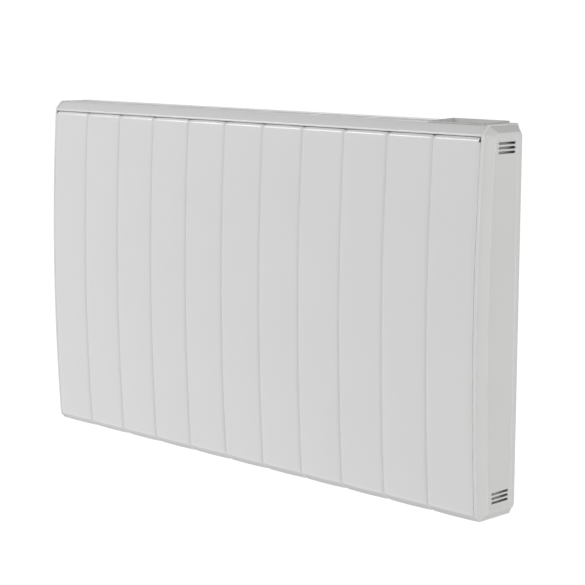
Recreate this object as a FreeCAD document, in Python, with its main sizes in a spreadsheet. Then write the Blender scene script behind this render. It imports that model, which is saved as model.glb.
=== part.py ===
"""Wall-hung electric panel radiator, as a parametric document of separate pieces.

Frame: the wall is the plane y = 0, the front faces -Y, X runs along the radiator and +Z is up.
The origin is the middle of the four wall screws.
"""
import FreeCAD, Part
import Sketcher
import math
import os
import re

# Driving sizes in millimetres, and counts
SIZES = {
    # Case
    "strip_pitch": 83,
    "strip_count": 11,
    "case_height": 548,
    "case_depth": 88.5,
    "wall_gap": 17.5,
    "bow_rise": 9.3,
    "bevel_top": 13.3,
    "bevel_foot": 11.8,
    "case_sheet": 0.8,
    "fit_gap": 0.3,
    # Front panel
    "front_sheet": 0.8,
    "strip_crown": 0.6,
    "groove_half": 3,
    "groove_depth": 2.5,
    "panel_drop": 3,
    "panel_flange": 10,
    "top_bend": 6.5,
    "foot_bend": 8,
    "foot_step": 1.5,
    # End caps
    "cap_gap": 1.2,
    "cap_lip": 4.8,
    "cap_rise": 10.5,
    "cap_inset": 10.8,
    "cap_wall": 2.2,
    "field_depth": 0.7,
    "field_front": 2,
    "field_ends": 3.5,
    "field_back": 8,
    "vent_length": 35,
    "vent_height": 3,
    "vent_pitch": 6.15,
    "vent_count": 3,
    "vent_edge": 25,
    "vent_back": 24,
    "boss_radius": 4,
    "boss_back": 40,
    "boss_spread": 180,
    # Top cover
    "cover_step": 1.2,
    "cover_sheet": 1.5,
    "band_gap": 2,
    "band_return": 7,
    "cover_flange": 14,
    "outlet_width": 4,
    "outlet_pitch": 6.4,
    "outlet_rows": 5,
    "outlet_front": 5,
    "outlet_columns": 7,
    "outlet_rib": 8,
    "outlet_margin": 14,
    # Base grille
    "inlet_width": 4,
    "inlet_pitch": 8,
    "inlet_rows": 5,
    "inlet_front": 12,
    "inlet_columns": 7,
    "inlet_rib": 12,
    "inlet_margin": 30,
    # Air channel and radiant side
    "channel_depth": 60,
    "rail_flange": 9,
    "mat_gap": 0.3,
    "mat_sheet": 1,
    "mat_margin": 30,
    "spacer_length": 4,
    "spacer_radius": 6,
    "spacer_side": 85,
    "spacer_end": 18,
    "element_height": 64,
    "element_fin": 40,
    "fin_sheet": 2,
    "hub_radius": 7,
    "rod_radius": 4.25,
    "rod_reach": 24,
    "element_margin": 40,
    "bush_radius": 9,
    "bush_length": 10,
    "bracket_sheet": 1.5,
    "bracket_foot": 16,
    "bracket_half": 22,
    "cutout_radius": 9,
    "cutout_length": 9,
    "cutout_rise": 90,
    "cutout_tab": 7,
    # Control pod
    "pod_width": 100,
    "pod_depth": 56,
    "pod_side": 7.7,
    "pod_front": 0.9,
    "pod_low": 1.5,
    "pod_high": 4,
    "pod_rim": 3,
    "pod_wall": 1.5,
    "pod_skirt": 5,
    "face_sink": 0.6,
    "face_sheet": 1.6,
    "lens_length": 57,
    "lens_depth": 20,
    "lens_sheet": 1,
    "lens_ledge": 2,
    "lens_back": 4,
    "button_radius": 4.5,
    "button_pitch": 16,
    "button_row": 10,
    "button_proud": 0.8,
    "button_travel": 1,
    "button_flange": 1,
    "button_stem": 1.2,
    "board_sheet": 1.6,
    "control_room": 7.6,
    "control_margin": 3,
    "post_radius": 2.6,
    "post_inset": 5,
    "switch_side": 6,
    "plunger_radius": 1.7,
    "plunger_height": 0.6,
    # Electrical compartment
    "partition_side": 12,
    "power_width": 84,
    "power_height": 150,
    "power_low": -70,
    "power_side": 12,
    "standoff_length": 10,
    "standoff_radius": 3,
    "standoff_inset": 6,
    "relay_side": 12,
    "relay_rise": 50,
    "relay_width": 30,
    "relay_height": 25,
    "relay_depth": 16,
    "choke_radius": 13,
    "choke_side": 21,
    "choke_rise": 75,
    "plug_width": 8.4,
    "plug_height": 12,
    "plug_rise": 12,
    "plug_depth": 24,
    "header_wall": 1.5,
    "header_height": 12,
    "header_depth": 8,
    "ribbon_width": 16,
    "ribbon_sheet": 0.8,
    "terminal_width": 54,
    "terminal_height": 22,
    "terminal_depth": 15,
    "terminal_drop": 50,
    "terminal_ways": 3,
    "wire_radius": 1.4,
    "wire_bend": 12,
    "gland_bore": 4.2,
    "gland_radius": 9,
    "gland_flange": 13,
    "gland_head": 4,
    "gland_length": 12,
    "gland_nut": 5,
    "gland_back": 24,
    "sensor_radius": 2.5,
    "sensor_length": 14,
    "sensor_rise": 14,
    # Screws
    "screw_radius": 1.5,
    "screw_head": 2.9,
    "head_height": 1.4,
    "screw_length": 7,
    "screw_strips": 4,
    # Wall bracket
    "rail_spread": 440,
    "rail_width": 40,
    "rail_height": 300,
    "rail_sheet": 3,
    "rail_hole": 3.5,
    "hole_spread": 140,
    "tie_height": 26,
    "hook_rise": 110,
    "hook_width": 18,
    "hook_height": 12,
    "hook_arm": 4,
    "hook_sheet": 2,
    "hook_gap": 0.4,
    "lift_travel": 13,
    "lift_spare": 1,
    "stop_height": 3,
    "stop_drop": 98,
    "stop_gap": 0.5,
    "latch_drop": 122,
    "latch_boss": 7,
    "boss_length": 8,
    "latch_pin": 3,
    "pin_gap": 0.05,
    "pin_depth": 6,
    "lever_sheet": 3,
    "lever_width": 12,
    "lever_length": 126,
    "tongue_half": 11,
    "tongue_width": 7,
    "tongue_sheet": 3,
}

# Document and the sheet of sizes
doc = FreeCAD.newDocument("panel_radiator")
sheet = doc.addObject("Spreadsheet::Sheet", "Sizes")
for row, (alias, number) in enumerate(SIZES.items(), start=1):
    sheet.set(f"A{row}", alias)
    sheet.set(f"B{row}", str(number))
    sheet.setAlias(f"B{row}", alias)
doc.recompute()

pieces = []


def bound(formula):
    """Write a formula of size names as an expression on the sheet."""
    return re.sub(r"[a-z]+(?:_[a-z]+)+", lambda word: f"Sizes.{word.group()}", str(formula))


def amount(formula):
    """The number that a formula of size names has now."""
    return float(sheet.evalExpression(bound(formula)))


def count(alias):
    return int(round(sheet.get(alias)))


def bind(item, field, formula):
    item.setExpression(field, bound(formula))


def piece(item, label):
    """Keep an object of the document as a sub-part under its own name."""
    item.Label = label
    pieces.append(item)
    return item


def box(name, x, y, z):
    """A block between the low and high formulas of each axis."""
    block = doc.addObject("Part::Box", name)
    for side, axis, (low, high) in zip(("Length", "Width", "Height"), "xyz", (x, y, z)):
        bind(block, side, f"({high}) - ({low})")
        bind(block, f"Placement.Base.{axis}", low)
    return block


TURNS = {
    "x": FreeCAD.Rotation(FreeCAD.Vector(0, 1, 0), 90),
    "y": FreeCAD.Rotation(FreeCAD.Vector(1, 0, 0), -90),
    "z": FreeCAD.Rotation(),
}


def rod(name, axis, start, radius, length):
    """A round bar that runs from start along +X, +Y or +Z."""
    bar = doc.addObject("Part::Cylinder", name)
    bar.Placement.Rotation = TURNS[axis]
    bind(bar, "Radius", radius)
    bind(bar, "Height", length)
    for letter, formula in zip("xyz", start):
        bind(bar, f"Placement.Base.{letter}", formula)
    return bar


def fuse(name, shapes):
    joined = doc.addObject("Part::MultiFuse", name)
    joined.Shapes = shapes
    joined.Refine = True
    return joined


def cut(name, base, tools):
    rest = doc.addObject("Part::Cut", name)
    rest.Base = base
    rest.Tool = tools[0] if len(tools) == 1 else group(f"{name}_tools", tools)
    return rest


def group(name, shapes):
    together = doc.addObject("Part::Compound", name)
    together.Links = shapes
    return together


def mirrored(name, source):
    """The same piece on the other side of the middle plane x = 0."""
    other = doc.addObject("Part::Mirroring", name)
    other.Source = source
    other.Normal = FreeCAD.Vector(1, 0, 0)
    return other


def new_body(name):
    return doc.addObject("PartDesign::Body", name)


def origin_of(body, role):
    return next(item for item in body.Origin.OriginFeatures if item.Role == role)


def new_sketch(body, name, plane, offset="0"):
    """A sketch on an origin plane of its body, moved along the plane's normal by offset."""
    sketch = body.newObject("Sketcher::SketchObject", name)
    sketch.AttachmentSupport = [(origin_of(body, plane), "")]
    sketch.MapMode = "FlatFace"
    if offset != "0":
        bind(sketch, "AttachmentOffset.Base.z", offset)
    return sketch


def dimension(sketch, constraint, formula):
    index = sketch.addConstraint(constraint)
    bind(sketch, f"Constraints[{index}]", formula)


def pin_point(sketch, curve, end, across, up):
    """Hold one end of a curve at two formulas."""
    dimension(sketch, Sketcher.Constraint("DistanceX", -1, 1, curve, end, amount(across)), across)
    dimension(sketch, Sketcher.Constraint("DistanceY", -1, 1, curve, end, amount(up)), up)


def near_end(sketch, curve, point):
    """Which end of a curve lies at a point."""
    first = sketch.getPoint(curve, 1)
    last = sketch.getPoint(curve, 2)
    return 1 if first.distanceToPoint(point) < last.distanceToPoint(point) else 2


def bulge_middle(start, end, radius):
    """The middle of an arc from start to end, on the left of the way for a positive radius."""
    chord = end - start
    half = chord.Length / 2
    rise = abs(radius) - math.sqrt(radius * radius - half * half)
    left = FreeCAD.Vector(-chord.y, chord.x, 0).normalize()
    return (start + end) * 0.5 + left * math.copysign(rise, radius)


def outline(sketch, corners, arcs=()):
    """A closed outline through corners; arcs gives the radius of the edges that are round."""
    arcs = dict(arcs)
    points = [FreeCAD.Vector(amount(across), amount(up), 0) for across, up in corners]
    curves = []
    for index, start in enumerate(points):
        end = points[(index + 1) % len(points)]
        if index in arcs:
            middle = bulge_middle(start, end, amount(arcs[index]))
            curves.append(sketch.addGeometry(Part.Arc(start, middle, end)))
        else:
            curves.append(sketch.addGeometry(Part.LineSegment(start, end)))
    for index, curve in enumerate(curves):
        corner = points[index]
        before = curves[index - 1]
        end = near_end(sketch, curve, corner)
        sketch.addConstraint(
            Sketcher.Constraint("Coincident", before, near_end(sketch, before, corner), curve, end))
        pin_point(sketch, curve, end, *corners[index])
    for index, radius in arcs.items():
        size = radius.removeprefix("-")
        dimension(sketch, Sketcher.Constraint("Radius", curves[index], amount(size)), size)
    return sketch


def circle(sketch, across, up, radius):
    """A circle in a sketch, bound to its centre and radius."""
    centre = FreeCAD.Vector(amount(across), amount(up), 0)
    curve = sketch.addGeometry(Part.Circle(centre, FreeCAD.Vector(0, 0, 1), amount(radius)))
    pin_point(sketch, curve, 3, across, up)
    dimension(sketch, Sketcher.Constraint("Radius", curve, amount(radius)), radius)


def feature(body, kind, name, profile):
    item = body.newObject(f"PartDesign::{kind}", name)
    item.Profile = profile
    profile.Visibility = False
    return item


def pad(body, name, profile, length, back=False):
    item = feature(body, "Pad", name, profile)
    bind(item, "Length", length)
    item.Reversed = back
    return item


def pocket(body, name, profile, length, back=False):
    item = feature(body, "Pocket", name, profile)
    bind(item, "Length", length)
    item.Reversed = back
    return item


def screws(name, axis, heads, toward):
    """Pan-head screws under one name, each head's flat face at its place, the shank toward +1 or -1."""
    made = []
    for index, (x, y, z) in enumerate(heads):
        place = dict(zip("xyz", (x, y, z)))
        shank = dict(place)
        head = dict(place)
        if toward > 0:
            head[axis] = f"({place[axis]}) - head_height"
        else:
            shank[axis] = f"({place[axis]}) - screw_length"
        stem = rod(f"{name}_stem_{index}", axis, shank.values(), "screw_radius", "screw_length")
        cap = rod(f"{name}_head_{index}", axis, head.values(), "screw_head", "head_height")
        made.append(fuse(f"{name}_{index}", [stem, cap]))
    return piece(group(name, made), name)


def screw_holes(name, axis, places, depth):
    """Clearance holes that run both ways from each place."""
    made = []
    for index, place in enumerate(places):
        start = dict(zip("xyz", place))
        start[axis] = f"({start[axis]}) - ({depth})"
        hole = rod(f"{name}_{index}", axis, start.values(), "screw_radius + fit_gap", f"2*({depth})")
        made.append(hole)
    return made


# Levels that most pieces share
FRONT = "(-case_depth - wall_gap)"
BACK = "(-wall_gap)"
EDGE = f"({FRONT} + bow_rise)"
INSIDE_BACK = "(-wall_gap - case_sheet)"
TOP = "(case_height/2)"
BOTTOM = "(-case_height/2)"
BOW_HIGH = "(case_height/2 - bevel_top)"
BOW_LOW = "(-case_height/2 + bevel_foot)"
BOW_HALF = "((case_height - bevel_top - bevel_foot)/2)"
BOW_MIDDLE = "((bevel_foot - bevel_top)/2)"
BOW_RADIUS = f"(({BOW_HALF}^2 + bow_rise^2)/(2*bow_rise))"
CORNER = "(sqrt(2) - 1)"
HALF_PANEL = "(strip_pitch*strip_count/2)"
LIP_IN = f"({HALF_PANEL} + cap_gap)"
LIP_OUT = f"({LIP_IN} + cap_lip)"
CAP_FACE = f"({LIP_OUT} + cap_rise)"
COVER_TOP = "(case_height/2 - cover_step)"
COVER_UNDER = f"({COVER_TOP} - cover_sheet)"
PANEL_TOP = f"({BOW_HIGH} - panel_drop)"
PANEL_FOOT = f"({BOTTOM} + foot_step)"
BEAD = "(groove_depth + front_sheet)"
BASE_LOW = f"({PANEL_FOOT} + {BEAD})"
BASE_HIGH = f"({BASE_LOW} + case_sheet)"
SHIELD_BACK = f"({INSIDE_BACK} - channel_depth)"
SHIELD_FRONT = f"({SHIELD_BACK} - case_sheet)"
SHELF_HIGH = f"({PANEL_TOP} - {BEAD})"
SHELF_LOW = f"({SHELF_HIGH} - case_sheet)"
SHELF_FRONT = f"({SHIELD_FRONT} - rail_flange)"
SIDE_IN = f"({HALF_PANEL} - case_sheet)"


def profile_corners(inset):
    """The case seen from the side, drawn in by inset all round, from the foot of the bow upwards."""
    turn = f"{CORNER}*({inset})"
    return [
        (f"{EDGE} + ({inset})", f"{BOW_LOW} + {turn}"),
        (f"{EDGE} + ({inset})", f"{BOW_HIGH} - {turn}"),
        (f"{EDGE} + bevel_top + {turn}", f"{TOP} - ({inset})"),
        (f"{BACK} - ({inset})", f"{TOP} - ({inset})"),
        (f"{BACK} - ({inset})", f"{BOTTOM} + ({inset})"),
        (f"{EDGE} + bevel_foot + {turn}", f"{BOTTOM} + ({inset})"),
    ]


def case_profile(body, name, inset, place):
    sketch = new_sketch(body, name, "YZ_Plane", place)
    return outline(sketch, profile_corners(inset), {0: f"{BOW_RADIUS} - ({inset})"})


# Front panel: one strip swept round the side path, then repeated along X
STRIP_LEFT = f"(-{HALF_PANEL})"
STRIP_RIGHT = f"(-{HALF_PANEL} + strip_pitch)"
FLANGE_BACK = f"({SHIELD_FRONT} - fit_gap)"
FOOT_LINE = f"({EDGE} + {BOW_LOW} + foot_step*sqrt(2))"
FOOT_TURN = f"({FOOT_LINE} + foot_bend*{CORNER} - {PANEL_FOOT})"
FOOT_BACK = f"({FOOT_TURN} + panel_flange)"
# The foot bevel leans back by half a right angle: its way upwards and the way its face looks, in degrees
BEVEL_WAY = 135
BEVEL_FACE = 225
CROWN_HALF = "(strip_pitch/2 - groove_half)"
CROWN_RADIUS = f"(({CROWN_HALF}^2 + strip_crown^2)/(2*strip_crown))"


def circle_point(centre, radius, degrees):
    angle = math.radians(degrees)
    return centre + FreeCAD.Vector(math.cos(angle), math.sin(angle), 0) * radius


def arc_between(sketch, centre, radius, start, end):
    """Add the short arc about centre between two points on it."""
    middle = centre + ((start + end) * 0.5 - centre).normalize() * radius
    return sketch.addGeometry(Part.Arc(start, middle, end))


def front_path(body):
    """The side path of the front panel's outer face, from the foot flange over the bow to the top flange."""
    sketch = new_sketch(body, "front_path", "YZ_Plane")
    bow = amount(BOW_RADIUS)
    low = amount("foot_bend")
    high = amount("top_bend")
    bow_centre = FreeCAD.Vector(amount(f"{FRONT} + {BOW_RADIUS}"), amount(BOW_MIDDLE), 0)
    foot = amount(PANEL_FOOT)
    line = amount(FOOT_LINE)
    start = FreeCAD.Vector(amount(FOOT_BACK), foot, 0)
    turn_centre = FreeCAD.Vector(amount(FOOT_TURN), foot + low, 0)
    turn_low = FreeCAD.Vector(turn_centre.x, foot, 0)
    turn_high = circle_point(turn_centre, low, BEVEL_FACE)
    # The second foot bend touches the bevel line and the inside of the bow
    total = line + low * math.sqrt(2)
    side = bow_centre.x + total - bow_centre.y
    product = (bow_centre.x ** 2 + (total - bow_centre.y) ** 2 - (bow - low) ** 2) / 2
    bend_y = (side - math.sqrt(side * side - 4 * product)) / 2
    bend_centre = FreeCAD.Vector(bend_y, total - bend_y, 0)
    bend_low = circle_point(bend_centre, low, BEVEL_FACE)
    bend_high = bow_centre + (bend_centre - bow_centre).normalize() * bow
    top_up = amount(PANEL_TOP) - high
    top_y = bow_centre.x - math.sqrt((bow - high) ** 2 - (top_up - bow_centre.y) ** 2)
    top_centre = FreeCAD.Vector(top_y, top_up, 0)
    top_low = bow_centre + (top_centre - bow_centre).normalize() * bow
    top_high = FreeCAD.Vector(top_y, amount(PANEL_TOP), 0)
    end = FreeCAD.Vector(amount(FLANGE_BACK), amount(PANEL_TOP), 0)

    flange = sketch.addGeometry(Part.LineSegment(start, turn_low))
    turn = arc_between(sketch, turn_centre, low, turn_low, turn_high)
    bevel = sketch.addGeometry(Part.LineSegment(turn_high, bend_low))
    bend = arc_between(sketch, bend_centre, low, bend_low, bend_high)
    front = arc_between(sketch, bow_centre, bow, bend_high, top_low)
    crest = arc_between(sketch, top_centre, high, top_low, top_high)
    shelf = sketch.addGeometry(Part.LineSegment(top_high, end))

    chain = [flange, turn, bevel, bend, front, crest, shelf]
    joints = [turn_low, turn_high, bend_low, bend_high, top_low, top_high]
    for before, after, point in zip(chain, chain[1:], joints):
        sketch.addConstraint(Sketcher.Constraint(
            "Tangent", before, near_end(sketch, before, point), after, near_end(sketch, after, point)))
    rounds = ((turn, "foot_bend"), (bend, "foot_bend"), (crest, "top_bend"), (front, BOW_RADIUS))
    for curve, radius in rounds:
        dimension(sketch, Sketcher.Constraint("Radius", curve, amount(radius)), radius)
    pin_point(sketch, flange, 1, FOOT_BACK, PANEL_FOOT)
    dimension(sketch, Sketcher.Constraint("DistanceX", -1, 1, flange, 2, amount(FOOT_TURN)), FOOT_TURN)
    sketch.addConstraint(Sketcher.Constraint("Horizontal", flange))
    sketch.addConstraint(Sketcher.Constraint("Angle", bevel, math.radians(BEVEL_WAY)))
    pin_point(sketch, front, 3, f"{FRONT} + {BOW_RADIUS}", BOW_MIDDLE)
    pin_point(sketch, shelf, 2, FLANGE_BACK, PANEL_TOP)
    return sketch, len(chain)


def strip_section(body):
    """The section of one strip across its foot flange: crowned, with half a groove at each side."""
    sketch = new_sketch(body, "strip_section", "XZ_Plane", f"-({FOOT_BACK})")
    valley = f"{PANEL_FOOT} + groove_depth"
    crest = f"{PANEL_FOOT} + strip_crown"
    left = f"{STRIP_LEFT} + groove_half"
    right = f"{STRIP_RIGHT} - groove_half"
    corners = [
        (STRIP_LEFT, valley),
        (left, crest),
        (right, crest),
        (STRIP_RIGHT, valley),
        (STRIP_RIGHT, f"{valley} + front_sheet"),
        (right, f"{crest} + front_sheet"),
        (left, f"{crest} + front_sheet"),
        (STRIP_LEFT, f"{valley} + front_sheet"),
    ]
    return outline(sketch, corners, {1: f"-{CROWN_RADIUS}", 5: CROWN_RADIUS})


SCREW_X = ["-strip_pitch*screw_strips", "0", "strip_pitch*screw_strips"]
PANEL_TOP_SCREWS = [(x, f"{SHELF_FRONT} + rail_flange/2", f"{PANEL_TOP}") for x in SCREW_X]
PANEL_FOOT_SCREWS = [(x, f"{FOOT_BACK} - panel_flange/2", f"{PANEL_FOOT}") for x in SCREW_X]


def make_front_panel():
    body = new_body("pressed_front")
    path, edges = front_path(body)
    section = strip_section(body)
    strip = feature(body, "AdditivePipe", "strip", section)
    strip.Spine = (path, [f"Edge{number + 1}" for number in range(edges)])
    doc.recompute()
    pattern = body.newObject("PartDesign::LinearPattern", "strips")
    pattern.Originals = [strip]
    pattern.Direction = (origin_of(body, "X_Axis"), [""])
    bind(pattern, "Length", "strip_pitch*(strip_count - 1)")
    bind(pattern, "Occurrences", "strip_count")
    body.Tip = pattern
    holes = screw_holes("front_hole", "z", PANEL_TOP_SCREWS + PANEL_FOOT_SCREWS, "screw_length")
    piece(cut("front_cut", body, holes), "front_panel")
    screws("panel_screws_top", "z", PANEL_TOP_SCREWS, -1)
    screws("panel_screws_foot", "z", PANEL_FOOT_SCREWS, 1)


# End caps: lip, bevelled border, recessed field, vent slots and screw bosses
VENT_MIDDLE = f"({BACK} - vent_back - vent_length/2)"
BOSS_PLACES = [(f"{BACK} - boss_back", up) for up in ("-boss_spread", "0", "boss_spread")]


def vent_slot(sketch, up):
    """A round-ended slot along Y in the end cap's face."""
    reach = "(vent_length - vent_height)/2"
    front = f"{VENT_MIDDLE} - {reach}"
    rear = f"{VENT_MIDDLE} + {reach}"
    low = f"{up} - vent_height/2"
    high = f"{up} + vent_height/2"
    corners = [(front, low), (rear, low), (rear, high), (front, high)]
    points = [FreeCAD.Vector(amount(across), amount(rise), 0) for across, rise in corners]
    radius = amount("vent_height/2")
    nose = FreeCAD.Vector(radius, 0, 0)
    centre_rear = (points[1] + points[2]) * 0.5
    centre_front = (points[3] + points[0]) * 0.5
    curves = [
        sketch.addGeometry(Part.LineSegment(points[0], points[1])),
        sketch.addGeometry(Part.Arc(points[1], centre_rear + nose, points[2])),
        sketch.addGeometry(Part.LineSegment(points[2], points[3])),
        sketch.addGeometry(Part.Arc(points[3], centre_front - nose, points[0])),
    ]
    for index, curve in enumerate(curves):
        before = curves[index - 1]
        end = near_end(sketch, curve, points[index])
        sketch.addConstraint(Sketcher.Constraint(
            "Tangent", before, near_end(sketch, before, points[index]), curve, end))
    pin_point(sketch, curves[0], 1, *corners[0])
    sketch.addConstraint(Sketcher.Constraint("Horizontal", curves[0]))
    for curve, formula in ((curves[0], "vent_length - vent_height"), (curves[1], "vent_height/2")):
        kind = "Distance" if curve == curves[0] else "Radius"
        dimension(sketch, Sketcher.Constraint(kind, curve, amount(formula)), formula)


def make_end_caps():
    body = new_body("cap_shell")
    pad(body, "lip", case_profile(body, "lip_profile", "0", LIP_IN), "cap_lip")
    border = feature(body, "AdditiveLoft", "border", case_profile(body, "border_foot", "0", LIP_OUT))
    border.Sections = [case_profile(body, "border_head", "cap_inset", CAP_FACE)]
    border.Ruled = True
    mouth = case_profile(body, "hollow_mouth", "cap_wall", LIP_IN)
    hollow = feature(body, "SubtractiveLoft", "hollow", mouth)
    hollow.Sections = [
        case_profile(body, "hollow_waist", "cap_wall", f"{LIP_OUT} - cap_wall/2"),
        case_profile(body, "hollow_floor", "cap_inset", f"{CAP_FACE} - cap_wall"),
    ]
    hollow.Ruled = True
    field = new_sketch(body, "field_outline", "YZ_Plane", CAP_FACE)
    foot, head, head_top, back_top, back_foot, foot_low = profile_corners("cap_inset")
    front_in = f"{EDGE} + cap_inset + field_front"
    back_in = f"{BACK} - cap_inset - field_back"
    low_in = f"{BOTTOM} + cap_inset + field_ends"
    high_in = f"{TOP} - cap_inset - field_ends"
    corners = [
        (front_in, foot[1]),
        (front_in, head[1]),
        (f"{head_top[0]} + {CORNER}*field_ends", high_in),
        (back_in, high_in),
        (back_in, low_in),
        (f"{foot_low[0]} + {CORNER}*field_ends", low_in),
    ]
    outline(field, corners, {0: f"{BOW_RADIUS} - cap_inset - field_front"})
    pocket(body, "field", field, "field_depth")
    slots = new_sketch(body, "vent_slots", "YZ_Plane", CAP_FACE)
    for number in range(count("vent_count")):
        step = f"vent_edge + vent_pitch*{number}"
        vent_slot(slots, f"({TOP} - {step})")
        vent_slot(slots, f"({BOTTOM} + {step} + vent_height/2)")
    pocket(body, "vents", slots, "cap_wall*2")
    bosses = new_sketch(body, "boss_rings", "YZ_Plane", HALF_PANEL)
    for back, up in BOSS_PLACES:
        circle(bosses, back, up, "boss_radius")
        circle(bosses, back, up, "screw_radius + pin_gap")
    pad(body, "bosses", bosses, f"{CAP_FACE} - cap_wall - {HALF_PANEL}")
    piece(body, "end_cap_right")
    piece(mirrored("cap_mirror", body), "end_cap_left")
    heads = [(SIDE_IN, back, up) for back, up in BOSS_PLACES]
    screws("cap_screws_right", "x", heads, 1)
    screws("cap_screws_left", "x", [(f"-{x}", y, z) for x, y, z in heads], -1)


# Top cover: sloped band, flat top, outlet slots and the opening for the control pod
BAND_LINE = f"({EDGE} - {BOW_HIGH} + cover_step*sqrt(2))"
BAND_INNER = f"({BAND_LINE} + cover_sheet*sqrt(2))"
BAND_LOW = f"({PANEL_TOP} + band_gap)"
COVER_HALF = f"({LIP_IN} - fit_gap)"
COVER_FRONT = f"({BAND_LINE} + {COVER_TOP})"
POD_RIGHT = f"({LIP_IN} - pod_side)"
POD_LEFT = f"({POD_RIGHT} - pod_width)"
POD_FRONT = f"({COVER_FRONT} + pod_front)"
POD_BACK = f"({POD_FRONT} + pod_depth)"
OUTLET_LEFT = f"(-{SIDE_IN} + outlet_margin)"
OUTLET_RIGHT = f"({POD_LEFT} - outlet_margin)"
OUTLET_FRONT = f"({SHIELD_BACK} + outlet_front)"
COVER_BACK = f"({BACK} + cover_sheet)"
COVER_SCREWS = [(x, COVER_BACK, f"{COVER_TOP} - cover_flange/2") for x in SCREW_X]


def slot_grid(name, left, right, front, levels, use):
    """Blocks that cut rows and columns of long slots."""
    rows = count(f"{use}_rows")
    columns = count(f"{use}_columns")
    length = f"(({right}) - ({left}) + {use}_rib)/{use}_columns"
    blocks = []
    for row in range(rows):
        low = f"{front} + {use}_pitch*{row}"
        for column in range(columns):
            start = f"({left}) + ({length})*{column}"
            blocks.append(box(
                f"{name}_{row}_{column}",
                (start, f"{start} + {length} - {use}_rib"),
                (low, f"{low} + {use}_width"),
                levels))
    return blocks


def make_top_cover():
    body = new_body("folded_cover")
    profile = new_sketch(body, "cover_profile", "YZ_Plane", f"-{COVER_HALF}")
    return_high = f"{BAND_LOW} + cover_sheet"
    outline(profile, [
        (f"{BAND_LINE} + {BAND_LOW}", BAND_LOW),
        (COVER_FRONT, COVER_TOP),
        (COVER_BACK, COVER_TOP),
        (COVER_BACK, f"{COVER_TOP} - cover_flange"),
        (BACK, f"{COVER_TOP} - cover_flange"),
        (BACK, COVER_UNDER),
        (f"{BAND_INNER} + {COVER_UNDER}", COVER_UNDER),
        (f"{BAND_INNER} + {return_high}", return_high),
        (f"{BAND_LINE} + {BAND_LOW} + band_return", return_high),
        (f"{BAND_LINE} + {BAND_LOW} + band_return", BAND_LOW),
    ])
    pad(body, "cover_sheet_metal", profile, f"2*{COVER_HALF}")
    through = (f"{COVER_UNDER} - cover_sheet", f"{COVER_TOP} + cover_sheet")
    slots = slot_grid("outlet", OUTLET_LEFT, OUTLET_RIGHT, OUTLET_FRONT, through, "outlet")
    opening = box(
        "pod_opening",
        (f"{POD_LEFT} + pod_rim - fit_gap", f"{POD_RIGHT} - pod_rim + fit_gap"),
        (f"{POD_FRONT} + pod_rim - fit_gap", f"{POD_BACK} - pod_rim + fit_gap"),
        through)
    holes = screw_holes("cover_hole", "y", COVER_SCREWS, "screw_length")
    piece(cut("cover_cut", body, slots + [opening] + holes), "top_cover")
    screws("cover_screws", "y", COVER_SCREWS, -1)


# Case behind the front: back panel, side plates, base grille and the rail that holds the panel's top
RAIL_X = "(rail_spread/2)"
HOOK_Z = "hook_rise"
LATCH_Z = "(-latch_drop)"
SLOT_DEEP = "(lift_travel + lift_spare)"


def back_openings():
    """Slots that pass over the hooks and round the latches, the same on both sides."""
    made = []
    for side in ("-", ""):
        middle = f"{side}{RAIL_X}"
        through = (f"{INSIDE_BACK} - case_sheet", f"{BACK} + case_sheet")
        made.append(box(
            f"hook_slot{side}",
            (f"{middle} - hook_width/2 - lift_spare", f"{middle} + hook_width/2 + lift_spare"),
            through,
            (f"{HOOK_Z} - hook_arm - {SLOT_DEEP}", f"{HOOK_Z} + fit_gap")))
        made.append(box(
            f"latch_slot{side}",
            (f"{middle} - tongue_width/2 - lift_spare", f"{middle} + tongue_width/2 + lift_spare"),
            through,
            (f"{LATCH_Z} - tongue_half - {SLOT_DEEP}", f"{LATCH_Z} + latch_pin + lift_spare")))
    return made


def make_case():
    wall = box("back_wall", (f"-{HALF_PANEL}", HALF_PANEL), (INSIDE_BACK, BACK), (BASE_LOW, COVER_UNDER))
    holes = screw_holes("back_hole", "y", COVER_SCREWS, "screw_length")
    piece(cut("back_cut", wall, back_openings() + holes), "back_panel")

    side = box("side_blank", (SIDE_IN, HALF_PANEL), (SHIELD_FRONT, INSIDE_BACK), (BASE_HIGH, COVER_UNDER))
    side_places = [(HALF_PANEL, back, up) for back, up in BOSS_PLACES]
    bolt = screw_holes("side_hole", "x", side_places, "screw_length")
    right = piece(cut("side_cut", side, bolt), "side_plate_right")
    piece(mirrored("side_mirror", right), "side_plate_left")

    blank = box("base_blank", (f"-{HALF_PANEL}", HALF_PANEL),
                (f"{FOOT_BACK} - panel_flange", INSIDE_BACK), (BASE_LOW, BASE_HIGH))
    through = (f"{BASE_LOW} - case_sheet", f"{BASE_HIGH} + case_sheet")
    slots = slot_grid("inlet", f"-{SIDE_IN} + inlet_margin", f"{POD_LEFT} - inlet_margin",
                      f"{SHIELD_BACK} + inlet_front", through, "inlet")
    gland = rod("gland_hole", "z", (GLAND_X, GLAND_Y, f"{BASE_LOW} - case_sheet"),
                "gland_radius + fit_gap", "case_sheet*3")
    holes = screw_holes("base_hole", "z", PANEL_FOOT_SCREWS, "screw_length")
    piece(cut("base_cut", blank, slots + [gland] + holes), "base_grille")

    inside = (f"-{SIDE_IN}", SIDE_IN)
    shelf = box("rail_shelf", inside, (SHELF_FRONT, SHIELD_BACK), (SHELF_LOW, SHELF_HIGH))
    web = box("rail_web", inside, (SHIELD_FRONT, SHIELD_BACK), (SHELF_LOW, COVER_UNDER))
    notch = box("rail_notch", (f"{POD_LEFT} - pod_wall", HALF_PANEL),
                (f"{SHIELD_FRONT} - case_sheet", f"{SHIELD_BACK} + case_sheet"), (SHELF_HIGH, TOP))
    holes = screw_holes("rail_screw_hole", "z", PANEL_TOP_SCREWS, "screw_length")
    piece(cut("rail_cut", fuse("rail_fold", [shelf, web]), [notch] + holes), "top_rail")


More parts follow.
